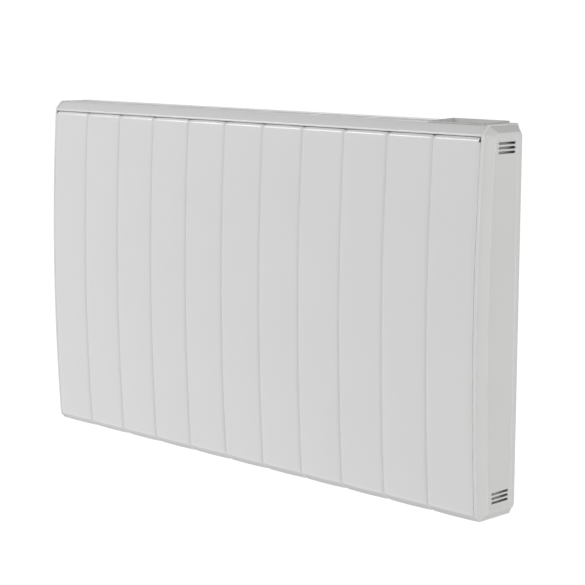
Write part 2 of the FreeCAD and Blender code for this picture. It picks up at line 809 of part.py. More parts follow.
# Radiant side: heating mat and backing behind the strips, on spacers in front of the heat shield
MAT_FRONT = f"({BEAD} + mat_gap)"
MAT_BACK = f"({MAT_FRONT} + mat_sheet)"
BACKING_BACK = f"({SHIELD_FRONT} - spacer_length)"
MAT_HALF = f"({HALF_PANEL} - mat_margin)"
MAT_HIGH = f"({SHELF_LOW} - mat_margin)"
MAT_LOW = f"({BASE_HIGH} + mat_margin)"
SPACER_X = [f"-{MAT_HALF} + spacer_side", "0", f"{MAT_HALF} - spacer_side"]
SPACER_Z = [f"{MAT_LOW} + spacer_end", f"{MAT_HIGH} - spacer_end"]


def bow_at(depth, up):
    """Where the bow lies at a height, a given depth behind the outer face."""
    radius = f"({BOW_RADIUS} - {depth})"
    return f"({FRONT} + {BOW_RADIUS} - sqrt({radius}^2 - (({up}) - {BOW_MIDDLE})^2))"


def make_radiant_side():
    inside = (f"-{SIDE_IN}", SIDE_IN)
    shield = box("shield_sheet", inside, (SHIELD_FRONT, SHIELD_BACK), (BASE_HIGH, SHELF_LOW))
    piece(shield, "heat_shield")
    mat = new_body("mat_body")
    sketch = new_sketch(mat, "mat_profile", "YZ_Plane", f"-{MAT_HALF}")
    corners = [
        (bow_at(MAT_FRONT, MAT_LOW), MAT_LOW),
        (bow_at(MAT_FRONT, MAT_HIGH), MAT_HIGH),
        (bow_at(MAT_BACK, MAT_HIGH), MAT_HIGH),
        (bow_at(MAT_BACK, MAT_LOW), MAT_LOW),
    ]
    outline(sketch, corners, {0: f"{BOW_RADIUS} - {MAT_FRONT}", 2: f"-({BOW_RADIUS} - {MAT_BACK})"})
    pad(mat, "mat_pad", sketch, f"2*{MAT_HALF}")
    piece(mat, "radiant_mat")
    backing = new_body("backing_body")
    sketch = new_sketch(backing, "backing_profile", "YZ_Plane", f"-{MAT_HALF}")
    corners = [
        (bow_at(MAT_BACK, MAT_LOW), MAT_LOW),
        (bow_at(MAT_BACK, MAT_HIGH), MAT_HIGH),
        (BACKING_BACK, MAT_HIGH),
        (BACKING_BACK, MAT_LOW),
    ]
    outline(sketch, corners, {0: f"{BOW_RADIUS} - {MAT_BACK}"})
    pad(backing, "backing_pad", sketch, f"2*{MAT_HALF}")
    piece(backing, "radiant_backing")
    spacers = []
    for x in SPACER_X:
        for z in SPACER_Z:
            name = f"spacer_{len(spacers)}"
            spacers.append(rod(name, "y", (x, BACKING_BACK, z), "spacer_radius", "spacer_length"))
    piece(group("spacer_group", spacers), "shield_spacers")
    cutout = rod("cutout_can", "y", ("0", SHIELD_BACK, "cutout_rise"), "cutout_radius", "cutout_length")
    tabs = box("cutout_tabs", ("-cutout_radius*2", "cutout_radius*2"),
               (SHIELD_BACK, f"{SHIELD_BACK} + case_sheet"),
               ("cutout_rise - cutout_tab", "cutout_rise + cutout_tab"))
    piece(fuse("cutout_fuse", [cutout, tabs]), "thermal_cutout")


# Convector element: finned rod on ceramic bushes, low in the air channel
PARTITION = f"({POD_LEFT} - partition_side)"
ELEMENT_Y = f"(({SHIELD_BACK} + {INSIDE_BACK})/2)"
ELEMENT_Z = f"({BASE_HIGH} + element_height)"
ROD_LEFT = f"(-{SIDE_IN} + element_margin)"
ROD_RIGHT = f"({PARTITION} - element_margin/2)"
FIN_TURN = 45
FIN_LEFT = f"({ROD_LEFT} + rod_reach)"
FIN_RIGHT = f"({ROD_RIGHT} - rod_reach)"


def element_bracket(name, bush_left, foot_sign):
    """A bracket plate folded from the back panel side, and the ceramic bush that it holds."""
    plate_left = f"({bush_left} + bush_length/2 - bracket_sheet/2)"
    plate_right = f"({plate_left} + bracket_sheet)"
    foot_x = (plate_left, f"{plate_left} + bracket_foot")
    if foot_sign < 0:
        foot_x = (f"{plate_right} - bracket_foot", plate_right)
    rise = (f"{ELEMENT_Z} - bracket_half", f"{ELEMENT_Z} + bracket_half")
    plate = box(f"{name}_plate", (plate_left, plate_right),
                (f"{ELEMENT_Y} - bracket_half", INSIDE_BACK), rise)
    foot = box(f"{name}_foot", foot_x, (f"{INSIDE_BACK} - bracket_sheet", INSIDE_BACK), rise)
    hole = rod(f"{name}_hole", "x", (f"{plate_left} - bracket_sheet", ELEMENT_Y, ELEMENT_Z),
               "bush_radius", "bracket_sheet*3")
    piece(cut(f"{name}_cut", fuse(f"{name}_fold", [plate, foot]), [hole]), f"element_bracket_{name}")
    ring = rod(f"{name}_ring", "x", (bush_left, ELEMENT_Y, ELEMENT_Z), "bush_radius", "bush_length")
    bore = rod(f"{name}_bore", "x", (f"{bush_left} - bush_length", ELEMENT_Y, ELEMENT_Z),
               "rod_radius", "bush_length*3")
    piece(cut(f"{name}_bush", ring, [bore]), f"element_bush_{name}")


def make_element():
    bar = rod("element_rod", "x", (ROD_LEFT, ELEMENT_Y, ELEMENT_Z), "rod_radius",
              f"{ROD_RIGHT} - {ROD_LEFT}")
    hub = rod("element_hub", "x", (FIN_LEFT, ELEMENT_Y, ELEMENT_Z), "hub_radius",
              f"{FIN_RIGHT} - {FIN_LEFT}")
    # Two plates cross at right angles through the hub, each turned half way between Y and Z
    wide = "(element_fin - fin_sheet)/2*sqrt(2)/2"
    far = "(element_fin + fin_sheet)/2*sqrt(2)/2"
    corners = {FIN_TURN: (f"{ELEMENT_Y} - {wide}", f"{ELEMENT_Z} - {far}"),
               -FIN_TURN: (f"{ELEMENT_Y} - {far}", f"{ELEMENT_Z} + {wide}")}
    fins = []
    for turn, (y, z) in corners.items():
        fin = doc.addObject("Part::Box", f"element_fin_{len(fins)}")
        fin.Placement.Rotation = FreeCAD.Rotation(FreeCAD.Vector(1, 0, 0), turn)
        bind(fin, "Length", f"{FIN_RIGHT} - {FIN_LEFT}")
        bind(fin, "Width", "element_fin")
        bind(fin, "Height", "fin_sheet")
        for letter, formula in zip("xyz", (FIN_LEFT, y, z)):
            bind(fin, f"Placement.Base.{letter}", formula)
        fins.append(fin)
    piece(fuse("element_fuse", fins + [hub, bar]), "convector_element")
    element_bracket("left", f"({FIN_LEFT} - fit_gap - bush_length)", -1)
    element_bracket("right", f"({FIN_RIGHT} + fit_gap)", 1)


# Control pod: wedge rim with its skirt, face plate, display, push buttons and their board
FACE_HIGH = f"({COVER_TOP} - face_sink)"
FACE_LOW = f"({FACE_HIGH} - face_sheet)"
SKIRT_LEFT = f"({POD_LEFT} + pod_rim)"
SKIRT_RIGHT = f"({POD_RIGHT} - pod_rim)"
SKIRT_FRONT = f"({POD_FRONT} + pod_rim)"
SKIRT_BACK = f"({POD_BACK} - pod_rim)"
LEDGE_LOW = f"({FACE_LOW} - pod_wall)"
SKIRT_LOW = f"({FACE_LOW} - pod_skirt)"
BOARD_HIGH = f"({FACE_LOW} - control_room)"
POD_MIDDLE = f"(({POD_LEFT} + {POD_RIGHT})/2)"
LENS_BACK = f"({SKIRT_BACK} - pod_wall - lens_back)"
LENS_FRONT = f"({LENS_BACK} - lens_depth)"
BUTTON_Y = f"({SKIRT_FRONT} + pod_wall + button_row)"
BUTTONS = ("power_button", "mode_button", "down_button", "up_button", "enter_button")


def inset_box(name, inset, levels):
    """A block inside the pod's skirt, drawn in by inset on all four sides."""
    return box(
        name,
        (f"{SKIRT_LEFT} + {inset}", f"{SKIRT_RIGHT} - ({inset})"),
        (f"{SKIRT_FRONT} + {inset}", f"{SKIRT_BACK} - ({inset})"),
        levels)


def make_bezel():
    body = new_body("bezel_wedge")
    profile = new_sketch(body, "wedge_profile", "YZ_Plane", POD_LEFT)
    outline(profile, [
        (POD_FRONT, COVER_TOP),
        (POD_FRONT, f"{COVER_TOP} + pod_low"),
        (POD_BACK, f"{COVER_TOP} + pod_high"),
        (POD_BACK, COVER_TOP),
    ])
    pad(body, "wedge", profile, "pod_width")
    skirt = inset_box("bezel_skirt", "0", (SKIRT_LOW, COVER_TOP))
    well = inset_box("bezel_well", "pod_wall", (FACE_LOW, f"{COVER_TOP} + pod_high + pod_wall"))
    throat = inset_box("bezel_throat", "pod_wall*2",
                       (f"{SKIRT_LOW} - pod_wall", f"{FACE_LOW} + pod_wall"))
    under = inset_box("bezel_under", "pod_wall", (f"{SKIRT_LOW} - pod_wall", LEDGE_LOW))
    piece(cut("bezel_cut", fuse("bezel_fuse", [body, skirt]), [well, throat, under]), "control_bezel")


def button_x(number):
    middle = (len(BUTTONS) - 1) / 2
    return f"({POD_MIDDLE} + button_pitch*({number - middle}))"


def make_button(number, name):
    """A turned button: domed cap through the face, a flange under it and a short stem."""
    body = new_body(f"{name}_body")
    sketch = new_sketch(body, f"{name}_profile", "XZ_Plane", f"-({BUTTON_Y})")
    middle = button_x(number)
    crown = f"{FACE_HIGH} + button_proud"
    shoulder = f"{FACE_LOW} - fit_gap"
    flange = f"{shoulder} - button_flange"
    foot = f"{flange} - button_stem"
    outline(sketch, [
        (middle, foot),
        (f"{middle} + plunger_radius", foot),
        (f"{middle} + plunger_radius", flange),
        (f"{middle} + button_radius + button_flange", flange),
        (f"{middle} + button_radius + button_flange", shoulder),
        (f"{middle} + button_radius", shoulder),
        (f"{middle} + button_radius", f"{crown} - fit_gap"),
        (middle, crown),
    ])
    axis_foot = FreeCAD.Vector(amount(middle), amount(foot), 0)
    axis_head = FreeCAD.Vector(amount(middle), amount(crown), 0)
    axis = sketch.addGeometry(Part.LineSegment(axis_foot, axis_head), True)
    pin_point(sketch, axis, 1, middle, foot)
    pin_point(sketch, axis, 2, middle, crown)
    turned = feature(body, "Revolution", f"{name}_turned", sketch)
    turned.ReferenceAxis = (sketch, ["Axis0"])
    turned.Angle = 360
    return piece(body, name)


def make_controls():
    make_bezel()
    plate = inset_box("face_plate", "pod_wall + fit_gap/2", (FACE_LOW, FACE_HIGH))
    post_places = [
        (x, y)
        for x in (f"{SKIRT_LEFT} + pod_wall + post_inset", f"{SKIRT_RIGHT} - pod_wall - post_inset")
        for y in (f"{SKIRT_FRONT} + pod_wall + post_inset", f"{SKIRT_BACK} - pod_wall - post_inset")
    ]
    posts = [
        rod(f"face_post_{index}", "z", (x, y, BOARD_HIGH), "post_radius", "control_room")
        for index, (x, y) in enumerate(post_places)
    ]
    lens_x = (f"{POD_MIDDLE} - lens_length/2", f"{POD_MIDDLE} + lens_length/2")
    seat = box("lens_seat", (f"{lens_x[0]} - fit_gap/2", f"{lens_x[1]} + fit_gap/2"),
               (f"{LENS_FRONT} - fit_gap/2", f"{LENS_BACK} + fit_gap/2"),
               (f"{FACE_HIGH} - lens_sheet", f"{FACE_HIGH} + lens_sheet"))
    window = box("lens_window", (f"{lens_x[0]} + lens_ledge", f"{lens_x[1]} - lens_ledge"),
                 (f"{LENS_FRONT} + lens_ledge", f"{LENS_BACK} - lens_ledge"),
                 (f"{FACE_LOW} - face_sheet", FACE_HIGH))
    holes = [
        rod(f"button_hole_{number}", "z", (button_x(number), BUTTON_Y, f"{FACE_LOW} - face_sheet"),
            "button_radius + fit_gap", "face_sheet*3")
        for number in range(len(BUTTONS))
    ]
    pilots = [
        rod(f"post_pilot_{index}", "z", (x, y, f"{BOARD_HIGH} - board_sheet"),
            "screw_radius + pin_gap", "screw_length + board_sheet")
        for index, (x, y) in enumerate(post_places)
    ]
    face = cut("face_cut", fuse("face_fuse", [plate] + posts), [seat, window] + holes + pilots)
    piece(face, "control_face")
    lens = box("lens_glass", lens_x, (LENS_FRONT, LENS_BACK), (f"{FACE_HIGH} - lens_sheet", FACE_HIGH))
    piece(lens, "display_lens")
    module = box("module_block", (f"{lens_x[0]} + lens_ledge/2", f"{lens_x[1]} - lens_ledge/2"),
                 (f"{LENS_FRONT} + lens_ledge/2", f"{LENS_BACK} - lens_ledge/2"), (BOARD_HIGH, FACE_LOW))
    piece(module, "display_module")
    board = inset_box("control_board_blank", "pod_wall + control_margin",
                      (f"{BOARD_HIGH} - board_sheet", BOARD_HIGH))
    clear = [
        rod(f"board_clear_{index}", "z", (x, y, f"{BOARD_HIGH} - board_sheet*2"),
            "screw_radius + fit_gap", "board_sheet*3")
        for index, (x, y) in enumerate(post_places)
    ]
    piece(cut("control_board_cut", board, clear), "control_board")
    screws("control_screws", "z", [(x, y, f"{BOARD_HIGH} - board_sheet") for x, y in post_places], 1)
    switches = []
    for number, name in enumerate(BUTTONS):
        make_button(number, name)
        stem_foot = f"({FACE_LOW} - fit_gap - button_flange - button_stem)"
        plunger_top = f"({stem_foot} - button_travel - fit_gap)"
        case = box(f"switch_case_{number}",
                   (f"{button_x(number)} - switch_side/2", f"{button_x(number)} + switch_side/2"),
                   (f"{BUTTON_Y} - switch_side/2", f"{BUTTON_Y} + switch_side/2"),
                   (BOARD_HIGH, f"{plunger_top} - plunger_height"))
        plunger = rod(f"switch_plunger_{number}", "z",
                      (button_x(number), BUTTON_Y, f"{plunger_top} - plunger_height"),
                      "plunger_radius", "plunger_height")
        switches.append(fuse(f"switch_{number}", [case, plunger]))
    piece(group("switch_group", switches), "tact_switches")


# Electrical compartment at the right end: partition, power board, terminals, gland and sensor
POWER_LEFT = f"({PARTITION} + power_side)"
POWER_RIGHT = f"({POWER_LEFT} + power_width)"
POWER_HIGH = "(power_low + power_height)"
POWER_BACK = f"({INSIDE_BACK} - standoff_length)"
POWER_FRONT = f"({POWER_BACK} - board_sheet)"
TERMINAL_HIGH = "(power_low - terminal_drop)"
TERMINAL_LOW = f"({TERMINAL_HIGH} - terminal_height)"
TERMINAL_LEFT = f"({POWER_LEFT} + power_side)"
GLAND_X = f"({TERMINAL_LEFT} + terminal_width/2)"
GLAND_Y = f"({INSIDE_BACK} - gland_back)"
SENSOR_Z = f"({BOTTOM} + vent_edge + vent_pitch*(vent_count - 1) + sensor_rise)"
LEAD_X = f"({POWER_LEFT} + power_side)"
PLUG_LOW = "(power_low + plug_rise)"


def make_electrics():
    wall = box("partition_wall", (PARTITION, f"{PARTITION} + case_sheet"), (SHIELD_BACK, INSIDE_BACK),
               (BASE_HIGH, SHELF_LOW))
    pass_hole = rod("partition_hole", "x", (f"{PARTITION} - case_sheet", ELEMENT_Y, ELEMENT_Z),
                    "wire_radius*2", "case_sheet*3")
    piece(cut("partition_cut", wall, [pass_hole]), "partition")

    corner_places = [
        (x, z)
        for x in (f"{POWER_LEFT} + standoff_inset", f"{POWER_RIGHT} - standoff_inset")
        for z in ("power_low + standoff_inset", f"{POWER_HIGH} - standoff_inset")
    ]
    screw_places = [(x, POWER_FRONT, z) for x, z in corner_places]
    board = box("power_blank", (POWER_LEFT, POWER_RIGHT), (POWER_FRONT, POWER_BACK),
                ("power_low", POWER_HIGH))
    holes = screw_holes("power_hole", "y", screw_places, "board_sheet*2")
    piece(cut("power_cut", board, holes), "power_board")
    posts = []
    for index, (x, z) in enumerate(corner_places):
        post = rod(f"standoff_{index}", "y", (x, POWER_BACK, z), "standoff_radius", "standoff_length")
        bore = rod(f"standoff_bore_{index}", "y", (x, f"{POWER_BACK} - board_sheet", z),
                   "screw_radius + pin_gap", "screw_length")
        posts.append(cut(f"standoff_cut_{index}", post, [bore]))
    piece(group("standoff_group", posts), "board_standoffs")
    screws("power_screws", "y", screw_places, 1)

    relay_left = f"{POWER_LEFT} + relay_side"
    relay = box("relay", (relay_left, f"{relay_left} + relay_width"),
                (f"{POWER_FRONT} - relay_depth", POWER_FRONT),
                ("power_low + relay_rise", "power_low + relay_rise + relay_height"))
    choke_start = (f"{POWER_RIGHT} - choke_side", f"{POWER_FRONT} - relay_depth", "power_low + choke_rise")
    choke = rod("choke", "y", choke_start, "choke_radius", "relay_depth")
    plug = box("lead_plug", (f"{LEAD_X} - plug_width/2", f"{LEAD_X} + plug_width/2"),
               (f"{POWER_FRONT} - plug_depth", POWER_FRONT), (PLUG_LOW, f"{PLUG_LOW} + plug_height"))
    header_half = "(ribbon_width/2 + header_wall)"
    header = box("ribbon_header", (f"{POD_MIDDLE} - {header_half}", f"{POD_MIDDLE} + {header_half}"),
                 (f"{POWER_FRONT} - header_depth", POWER_FRONT),
                 (f"{POWER_HIGH} - header_height", POWER_HIGH))
    entry = box("wire_entry", (TERMINAL_LEFT, f"{TERMINAL_LEFT} + terminal_width"),
                (f"{POWER_FRONT} - header_depth", POWER_FRONT), ("power_low", "power_low + plug_rise"))
    entry_clear = cut("wire_entry_cut", entry, [plug])
    piece(group("board_part_group", [relay, choke, plug, header, entry_clear]), "board_parts")
    wire_y = f"({POWER_FRONT} - header_depth/2)"
    ribbon = box("ribbon", (f"{POD_MIDDLE} - ribbon_width/2", f"{POD_MIDDLE} + ribbon_width/2"),
                 (f"{wire_y} - ribbon_sheet", wire_y), (POWER_HIGH, f"{BOARD_HIGH} - board_sheet"))
    piece(ribbon, "ribbon_cable")

    block = box("terminal_body", (TERMINAL_LEFT, f"{TERMINAL_LEFT} + terminal_width"),
                (f"{INSIDE_BACK} - terminal_depth", INSIDE_BACK), (TERMINAL_LOW, TERMINAL_HIGH))
    ways = []
    leads = []
    way_y = f"{INSIDE_BACK} - terminal_depth - pod_wall"
    way_z = f"({TERMINAL_HIGH} + {TERMINAL_LOW})/2"
    for number in range(count("terminal_ways")):
        x = f"{TERMINAL_LEFT} + terminal_width*({number} + 1/2)/terminal_ways"
        ways.append(rod(f"terminal_way_{number}", "y", (x, way_y, way_z), "screw_head", "terminal_depth/2"))
        lead = rod(f"board_lead_{number}", "z", (x, wire_y, TERMINAL_HIGH), "wire_radius", "terminal_drop")
        leads.append(lead)
    piece(cut("terminal_cut", block, ways), "terminal_block")
    piece(group("lead_group", leads), "board_leads")

    head = rod("gland_head_ring", "z", (GLAND_X, GLAND_Y, f"{BASE_LOW} - gland_head"),
               "gland_flange", "gland_head")
    barrel = rod("gland_barrel", "z", (GLAND_X, GLAND_Y, BASE_LOW), "gland_radius", "gland_length")
    bore = rod("gland_way", "z", (GLAND_X, GLAND_Y, f"{BASE_LOW} - gland_head*2"),
               "gland_bore", "gland_length + gland_head*3")
    piece(cut("gland_cut", fuse("gland_fuse", [head, barrel]), [bore]), "cable_gland")
    nut = rod("nut_ring", "z", (GLAND_X, GLAND_Y, BASE_HIGH), "gland_flange", "gland_nut")
    nut_bore = rod("nut_way", "z", (GLAND_X, GLAND_Y, f"{BASE_HIGH} - gland_nut"),
                   "gland_radius", "gland_nut*3")
    piece(cut("nut_cut", nut, [nut_bore]), "gland_nut")

    lead = new_body("lead_body")
    path = new_sketch(lead, "lead_path", "XZ_Plane", f"-({ELEMENT_Y})")
    bend = amount("wire_bend")
    top = FreeCAD.Vector(amount(LEAD_X), amount(PLUG_LOW), 0)
    corner = FreeCAD.Vector(amount(LEAD_X), amount(ELEMENT_Z), 0)
    end = FreeCAD.Vector(amount(ROD_RIGHT), amount(ELEMENT_Z), 0)
    turn_high = corner + FreeCAD.Vector(0, bend, 0)
    turn_low = corner - FreeCAD.Vector(bend, 0, 0)
    drop = path.addGeometry(Part.LineSegment(top, turn_high))
    turn = arc_between(path, corner + FreeCAD.Vector(-bend, bend, 0), bend, turn_high, turn_low)
    run = path.addGeometry(Part.LineSegment(turn_low, end))
    for before, after, point in ((drop, turn, turn_high), (turn, run, turn_low)):
        path.addConstraint(Sketcher.Constraint(
            "Tangent", before, near_end(path, before, point), after, near_end(path, after, point)))
    dimension(path, Sketcher.Constraint("Radius", turn, bend), "wire_bend")
    path.addConstraint(Sketcher.Constraint("Vertical", drop))
    path.addConstraint(Sketcher.Constraint("Horizontal", run))
    pin_point(path, drop, 1, LEAD_X, PLUG_LOW)
    pin_point(path, run, 2, ROD_RIGHT, ELEMENT_Z)
    section = new_sketch(lead, "lead_section", "XY_Plane", PLUG_LOW)
    circle(section, LEAD_X, ELEMENT_Y, "wire_radius")
    wire = feature(lead, "AdditivePipe", "lead_wire", section)
    wire.Spine = (path, ["Edge1", "Edge2", "Edge3"])
    piece(lead, "element_lead")

    floor = f"({CAP_FACE} - cap_wall)"
    clip = box("clip_block", (f"{floor} - sensor_radius*2", floor),
               (f"{VENT_MIDDLE} - sensor_radius", f"{VENT_MIDDLE} + sensor_radius"),
               (f"{SENSOR_Z} - sensor_radius*2", f"{SENSOR_Z} + sensor_radius*2"))
    bead_start = (f"{floor} - sensor_radius*2", f"{VENT_MIDDLE} - sensor_length/2", SENSOR_Z)
    bead = rod("sensor_bead", "y", bead_start, "sensor_radius", "sensor_length")
    bead_way = rod("sensor_way", "y", bead_start, "sensor_radius", "sensor_length")
    piece(cut("clip_cut", clip, [bead_way]), "sensor_clip")
    piece(bead, "room_sensor")


# Wall bracket: two rails tied together, each with a hook and a stop, and a turning latch on each
HOOK_BACK = f"({INSIDE_BACK} - hook_gap)"
HOOK_FRONT = f"({HOOK_BACK} - hook_sheet)"
RAIL_FACE = "(-rail_sheet)"
BOSS_FACE = "(-rail_sheet - boss_length)"
LEVER_BACK = f"({BOSS_FACE} - fit_gap)"
LEVER_FRONT = f"({LEVER_BACK} - lever_sheet)"
TONGUE_BACK = f"({INSIDE_BACK} - hook_gap)"
TONGUE_FRONT = f"({TONGUE_BACK} - tongue_sheet)"


def make_rail():
    bar = box("rail_bar", (f"{RAIL_X} - rail_width/2", f"{RAIL_X} + rail_width/2"), (RAIL_FACE, "0"),
              ("-rail_height/2", "rail_height/2"))
    hook_x = (f"{RAIL_X} - hook_width/2", f"{RAIL_X} + hook_width/2")
    arm = box("hook_arm_bar", hook_x, (HOOK_FRONT, RAIL_FACE), (f"{HOOK_Z} - hook_arm", HOOK_Z))
    tongue = box("hook_tongue", hook_x, (HOOK_FRONT, HOOK_BACK),
                 (f"{HOOK_Z} - hook_arm", f"{HOOK_Z} + hook_height"))
    stop = box("rail_stop", hook_x, ("-wall_gap + stop_gap", RAIL_FACE),
               ("-stop_drop", "-stop_drop + stop_height"))
    boss = rod("latch_boss_ring", "y", (RAIL_X, BOSS_FACE, LATCH_Z), "latch_boss", "boss_length")
    bore = rod("latch_bore", "y", (RAIL_X, f"{BOSS_FACE} - fit_gap", LATCH_Z),
               "latch_pin + pin_gap", "pin_depth + fit_gap*2")
    holes = [
        rod(f"wall_hole_{sign}", "y", (RAIL_X, "-rail_sheet*2", f"{sign}hole_spread/2"),
            "rail_hole", "rail_sheet*3")
        for sign in ("-", "+")
    ]
    solid = fuse("rail_fuse", [bar, arm, tongue, stop, boss])
    right = piece(cut("rail_bar_cut", solid, [bore] + holes), "wall_rail_right")
    piece(mirrored("rail_mirror", right), "wall_rail_left")
    tie = box("tie_bar", (f"-{RAIL_X} + rail_width/2", f"{RAIL_X} - rail_width/2"), (RAIL_FACE, "0"),
              ("-tie_height/2", "tie_height/2"))
    piece(tie, "wall_rail_tie")


def make_latch():
    pin = rod("latch_shaft", "y", (RAIL_X, TONGUE_FRONT, LATCH_Z), "latch_pin",
              f"{BOSS_FACE} + pin_depth - {TONGUE_FRONT}")
    lever = box("latch_lever", (f"{RAIL_X} - lever_width/2", f"{RAIL_X} + lever_width/2"),
                (LEVER_FRONT, LEVER_BACK), (f"{LATCH_Z} - lever_length", f"{LATCH_Z} + lever_width/2"))
    tongue = box("latch_tongue", (f"{RAIL_X} - tongue_half", f"{RAIL_X} + tongue_half"),
                 (TONGUE_FRONT, TONGUE_BACK),
                 (f"{LATCH_Z} - tongue_width/2", f"{LATCH_Z} + tongue_width/2"))
    right = piece(fuse("latch_fuse", [pin, lever, tongue]), "latch_right")
    piece(mirrored("latch_mirror", right), "latch_left")


make_front_panel()
make_end_caps()
make_top_cover()
make_case()
make_radiant_side()
make_element()
make_controls()
make_electrics()
make_rail()
make_latch()
doc.recompute()

# Nothing is written unless every object of the document and every sub-part is sound
for item in doc.Objects:
    if "Invalid" in item.State or "Error" in item.State:
        raise RuntimeError(f"{item.Name} failed: {item.State}")
for item in pieces:
    if item.Shape.isNull() or not item.Shape.isValid() or item.Shape.Volume <= 0:
        raise RuntimeError(f"{item.Label} has no sound shape")

os.makedirs("parts", exist_ok=True)
for item in pieces:
    item.Shape.exportStep(f"parts/{item.Label}.step")
print(f"{len(pieces)} sub-parts")
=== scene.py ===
"""Looks of the wall-hung electric panel radiator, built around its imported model, in metres."""
import math

import bmesh
import bpy
from mathutils import Matrix, Quaternion, Vector


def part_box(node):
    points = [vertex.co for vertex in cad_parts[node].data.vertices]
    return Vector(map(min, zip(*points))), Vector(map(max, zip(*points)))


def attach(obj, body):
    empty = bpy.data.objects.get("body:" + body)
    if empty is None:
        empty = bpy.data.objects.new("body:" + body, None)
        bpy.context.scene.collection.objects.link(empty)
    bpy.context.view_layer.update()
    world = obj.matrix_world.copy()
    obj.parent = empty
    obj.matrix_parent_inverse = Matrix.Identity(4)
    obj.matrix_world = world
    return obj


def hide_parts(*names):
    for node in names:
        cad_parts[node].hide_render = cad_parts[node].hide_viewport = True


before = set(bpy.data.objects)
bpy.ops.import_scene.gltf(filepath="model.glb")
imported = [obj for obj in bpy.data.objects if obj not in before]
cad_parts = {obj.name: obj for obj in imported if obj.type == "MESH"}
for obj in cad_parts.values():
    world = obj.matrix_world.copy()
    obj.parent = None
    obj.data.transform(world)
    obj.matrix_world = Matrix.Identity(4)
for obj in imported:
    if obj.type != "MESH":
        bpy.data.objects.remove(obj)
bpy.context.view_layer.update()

# Wall rails and their tie
# Two pressed steel rails, each with a hook and a latch boss, and a flat bar welded between them. They are
# zinc plated, and four screws through the rails hold them to the wall.
MM = 0.001
ZINC = (0.62, 0.635, 0.65, 1)
ZINC_DARK = (0.54, 0.555, 0.57, 1)
SPANGLE_SCALE = 420
ZINC_GRAIN = 900
ZINC_RELIEF = 0.02 * MM
# The Mix node's sockets share their names, so they are known by number
MIX_SHARE = 0
MIX_FIRST_COLOUR = 6
MIX_SECOND_COLOUR = 7
MIX_COLOUR_OUT = 2
MIX_FIRST_NUMBER = 2
MIX_SECOND_NUMBER = 3


class Wire:
    """One output of a shader node. Sums and products with it add Math nodes."""

    def __init__(self, tree, socket):
        self.tree = tree
        self.socket = socket

    def node(self, kind, settings, inputs, output=0):
        """Add a node of any kind: its settings come first, then its sockets get values or links."""
        made = self.tree.nodes.new(kind)
        for name, value in settings.items():
            setattr(made, name, value)
        for name, value in inputs.items():
            if isinstance(value, Wire):
                self.tree.links.new(value.socket, made.inputs[name])
            else:
                made.inputs[name].default_value = value
        return Wire(self.tree, made.outputs[output])

    def math(self, operation, first, second):
        """Add a Math node on two numbers or wires."""
        return self.node("ShaderNodeMath", {"operation": operation}, {0: first, 1: second})

    def __add__(self, other):
        return self.math("ADD", self, other)

    def __radd__(self, other):
        return self.math("ADD", other, self)

    def __rmul__(self, other):
        return self.math("MULTIPLY", other, self)


def noise(place, scale, detail=2.0):
    """Soft random clouds over a surface; scale counts them per metre."""
    return place.node("ShaderNodeTexNoise", {}, {"Vector": place, "Scale": scale, "Detail": detail})


def blend_of(share, first, second):
    """The first colour where share is 0 and the second where it is 1."""
    inputs = {MIX_SHARE: share, MIX_FIRST_COLOUR: first, MIX_SECOND_COLOUR: second}
    return share.node("ShaderNodeMix", {"data_type": "RGBA"}, inputs, MIX_COLOUR_OUT)


def relief(height, depth):
    """The normal of a surface whose skin rises and falls by depth."""
    return height.node("ShaderNodeBump", {}, {"Height": height, "Distance": depth})


def new_finish(name, **values):
    """A material with constants set on its shader, and the Object coordinates of what wears it."""
    material = bpy.data.materials.new(name)
    material.use_nodes = True
    tree = material.node_tree
    shader = tree.nodes["Principled BSDF"]
    for socket, value in values.items():
        shader.inputs[socket.replace("_", " ")].default_value = value
    place = Wire(tree, tree.nodes.new("ShaderNodeTexCoord").outputs["Object"])

    def wear(**links):
        for socket, wire in links.items():
            tree.links.new(wire.socket, shader.inputs[socket.replace("_", " ")])
        return material

    return place, wear


def zinc_sheet():
    """Zinc-coated steel: pale crystals of zinc, each a little lighter or duller than the next."""
    place, wear = new_finish("zinc_sheet", Metallic=0.85)
    crystals = place.node("ShaderNodeTexVoronoi", {}, {"Vector": place, "Scale": SPANGLE_SCALE}, "Color")
    grey = crystals.node("ShaderNodeSeparateColor", {}, {"Color": crystals})
    fine = noise(place, ZINC_GRAIN)
    return wear(Base_Color=blend_of(grey, ZINC_DARK, ZINC),
                Roughness=0.34 + 0.16 * grey + 0.08 * fine,
                Normal=relief(fine, ZINC_RELIEF))


def dress(finish, *nodes):
    """Give carried-over solids a finish."""
    for node in nodes:
        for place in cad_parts[node].material_slots:
            place.material = finish


zinc = zinc_sheet()
dress(zinc, "wall_rail_left", "wall_rail_right", "wall_rail_tie")

# Latches
# A flat steel lever on a short pin that turns in each rail's boss, with a tongue on the pin's far end
# behind the case's back. They are zinc plated and turn by a quarter to let the case go.
dress(zinc, "latch_left", "latch_right")

# Steel case
# Back panel, base with its air inlets, side plates and top rail are cut and folded from sheet. All but the
# hidden top rail are powder coated white; the rail stays bare zinc.
COAT_WHITE = (0.80, 0.805, 0.80, 1)
COAT_SHADE = (0.77, 0.775, 0.77, 1)
COAT_CLOUDS = 9
PEEL_SCALE = 420
PEEL_DEPTH = 0.012 * MM


def powder_coat(name, roughness, flow):
    """Baked powder paint: a satin film with a fine orange-peel ripple, glossier the more it flowed."""
    place, wear = new_finish(name, Coat_Weight=flow, Coat_Roughness=0.14)
    clouds = noise(place, COAT_CLOUDS, detail=3.0)
    ripple = noise(place, PEEL_SCALE)
    return wear(Base_Color=blend_of(clouds, COAT_SHADE, COAT_WHITE),
                Roughness=roughness + 0.05 * clouds,
                Normal=relief(ripple, PEEL_DEPTH))


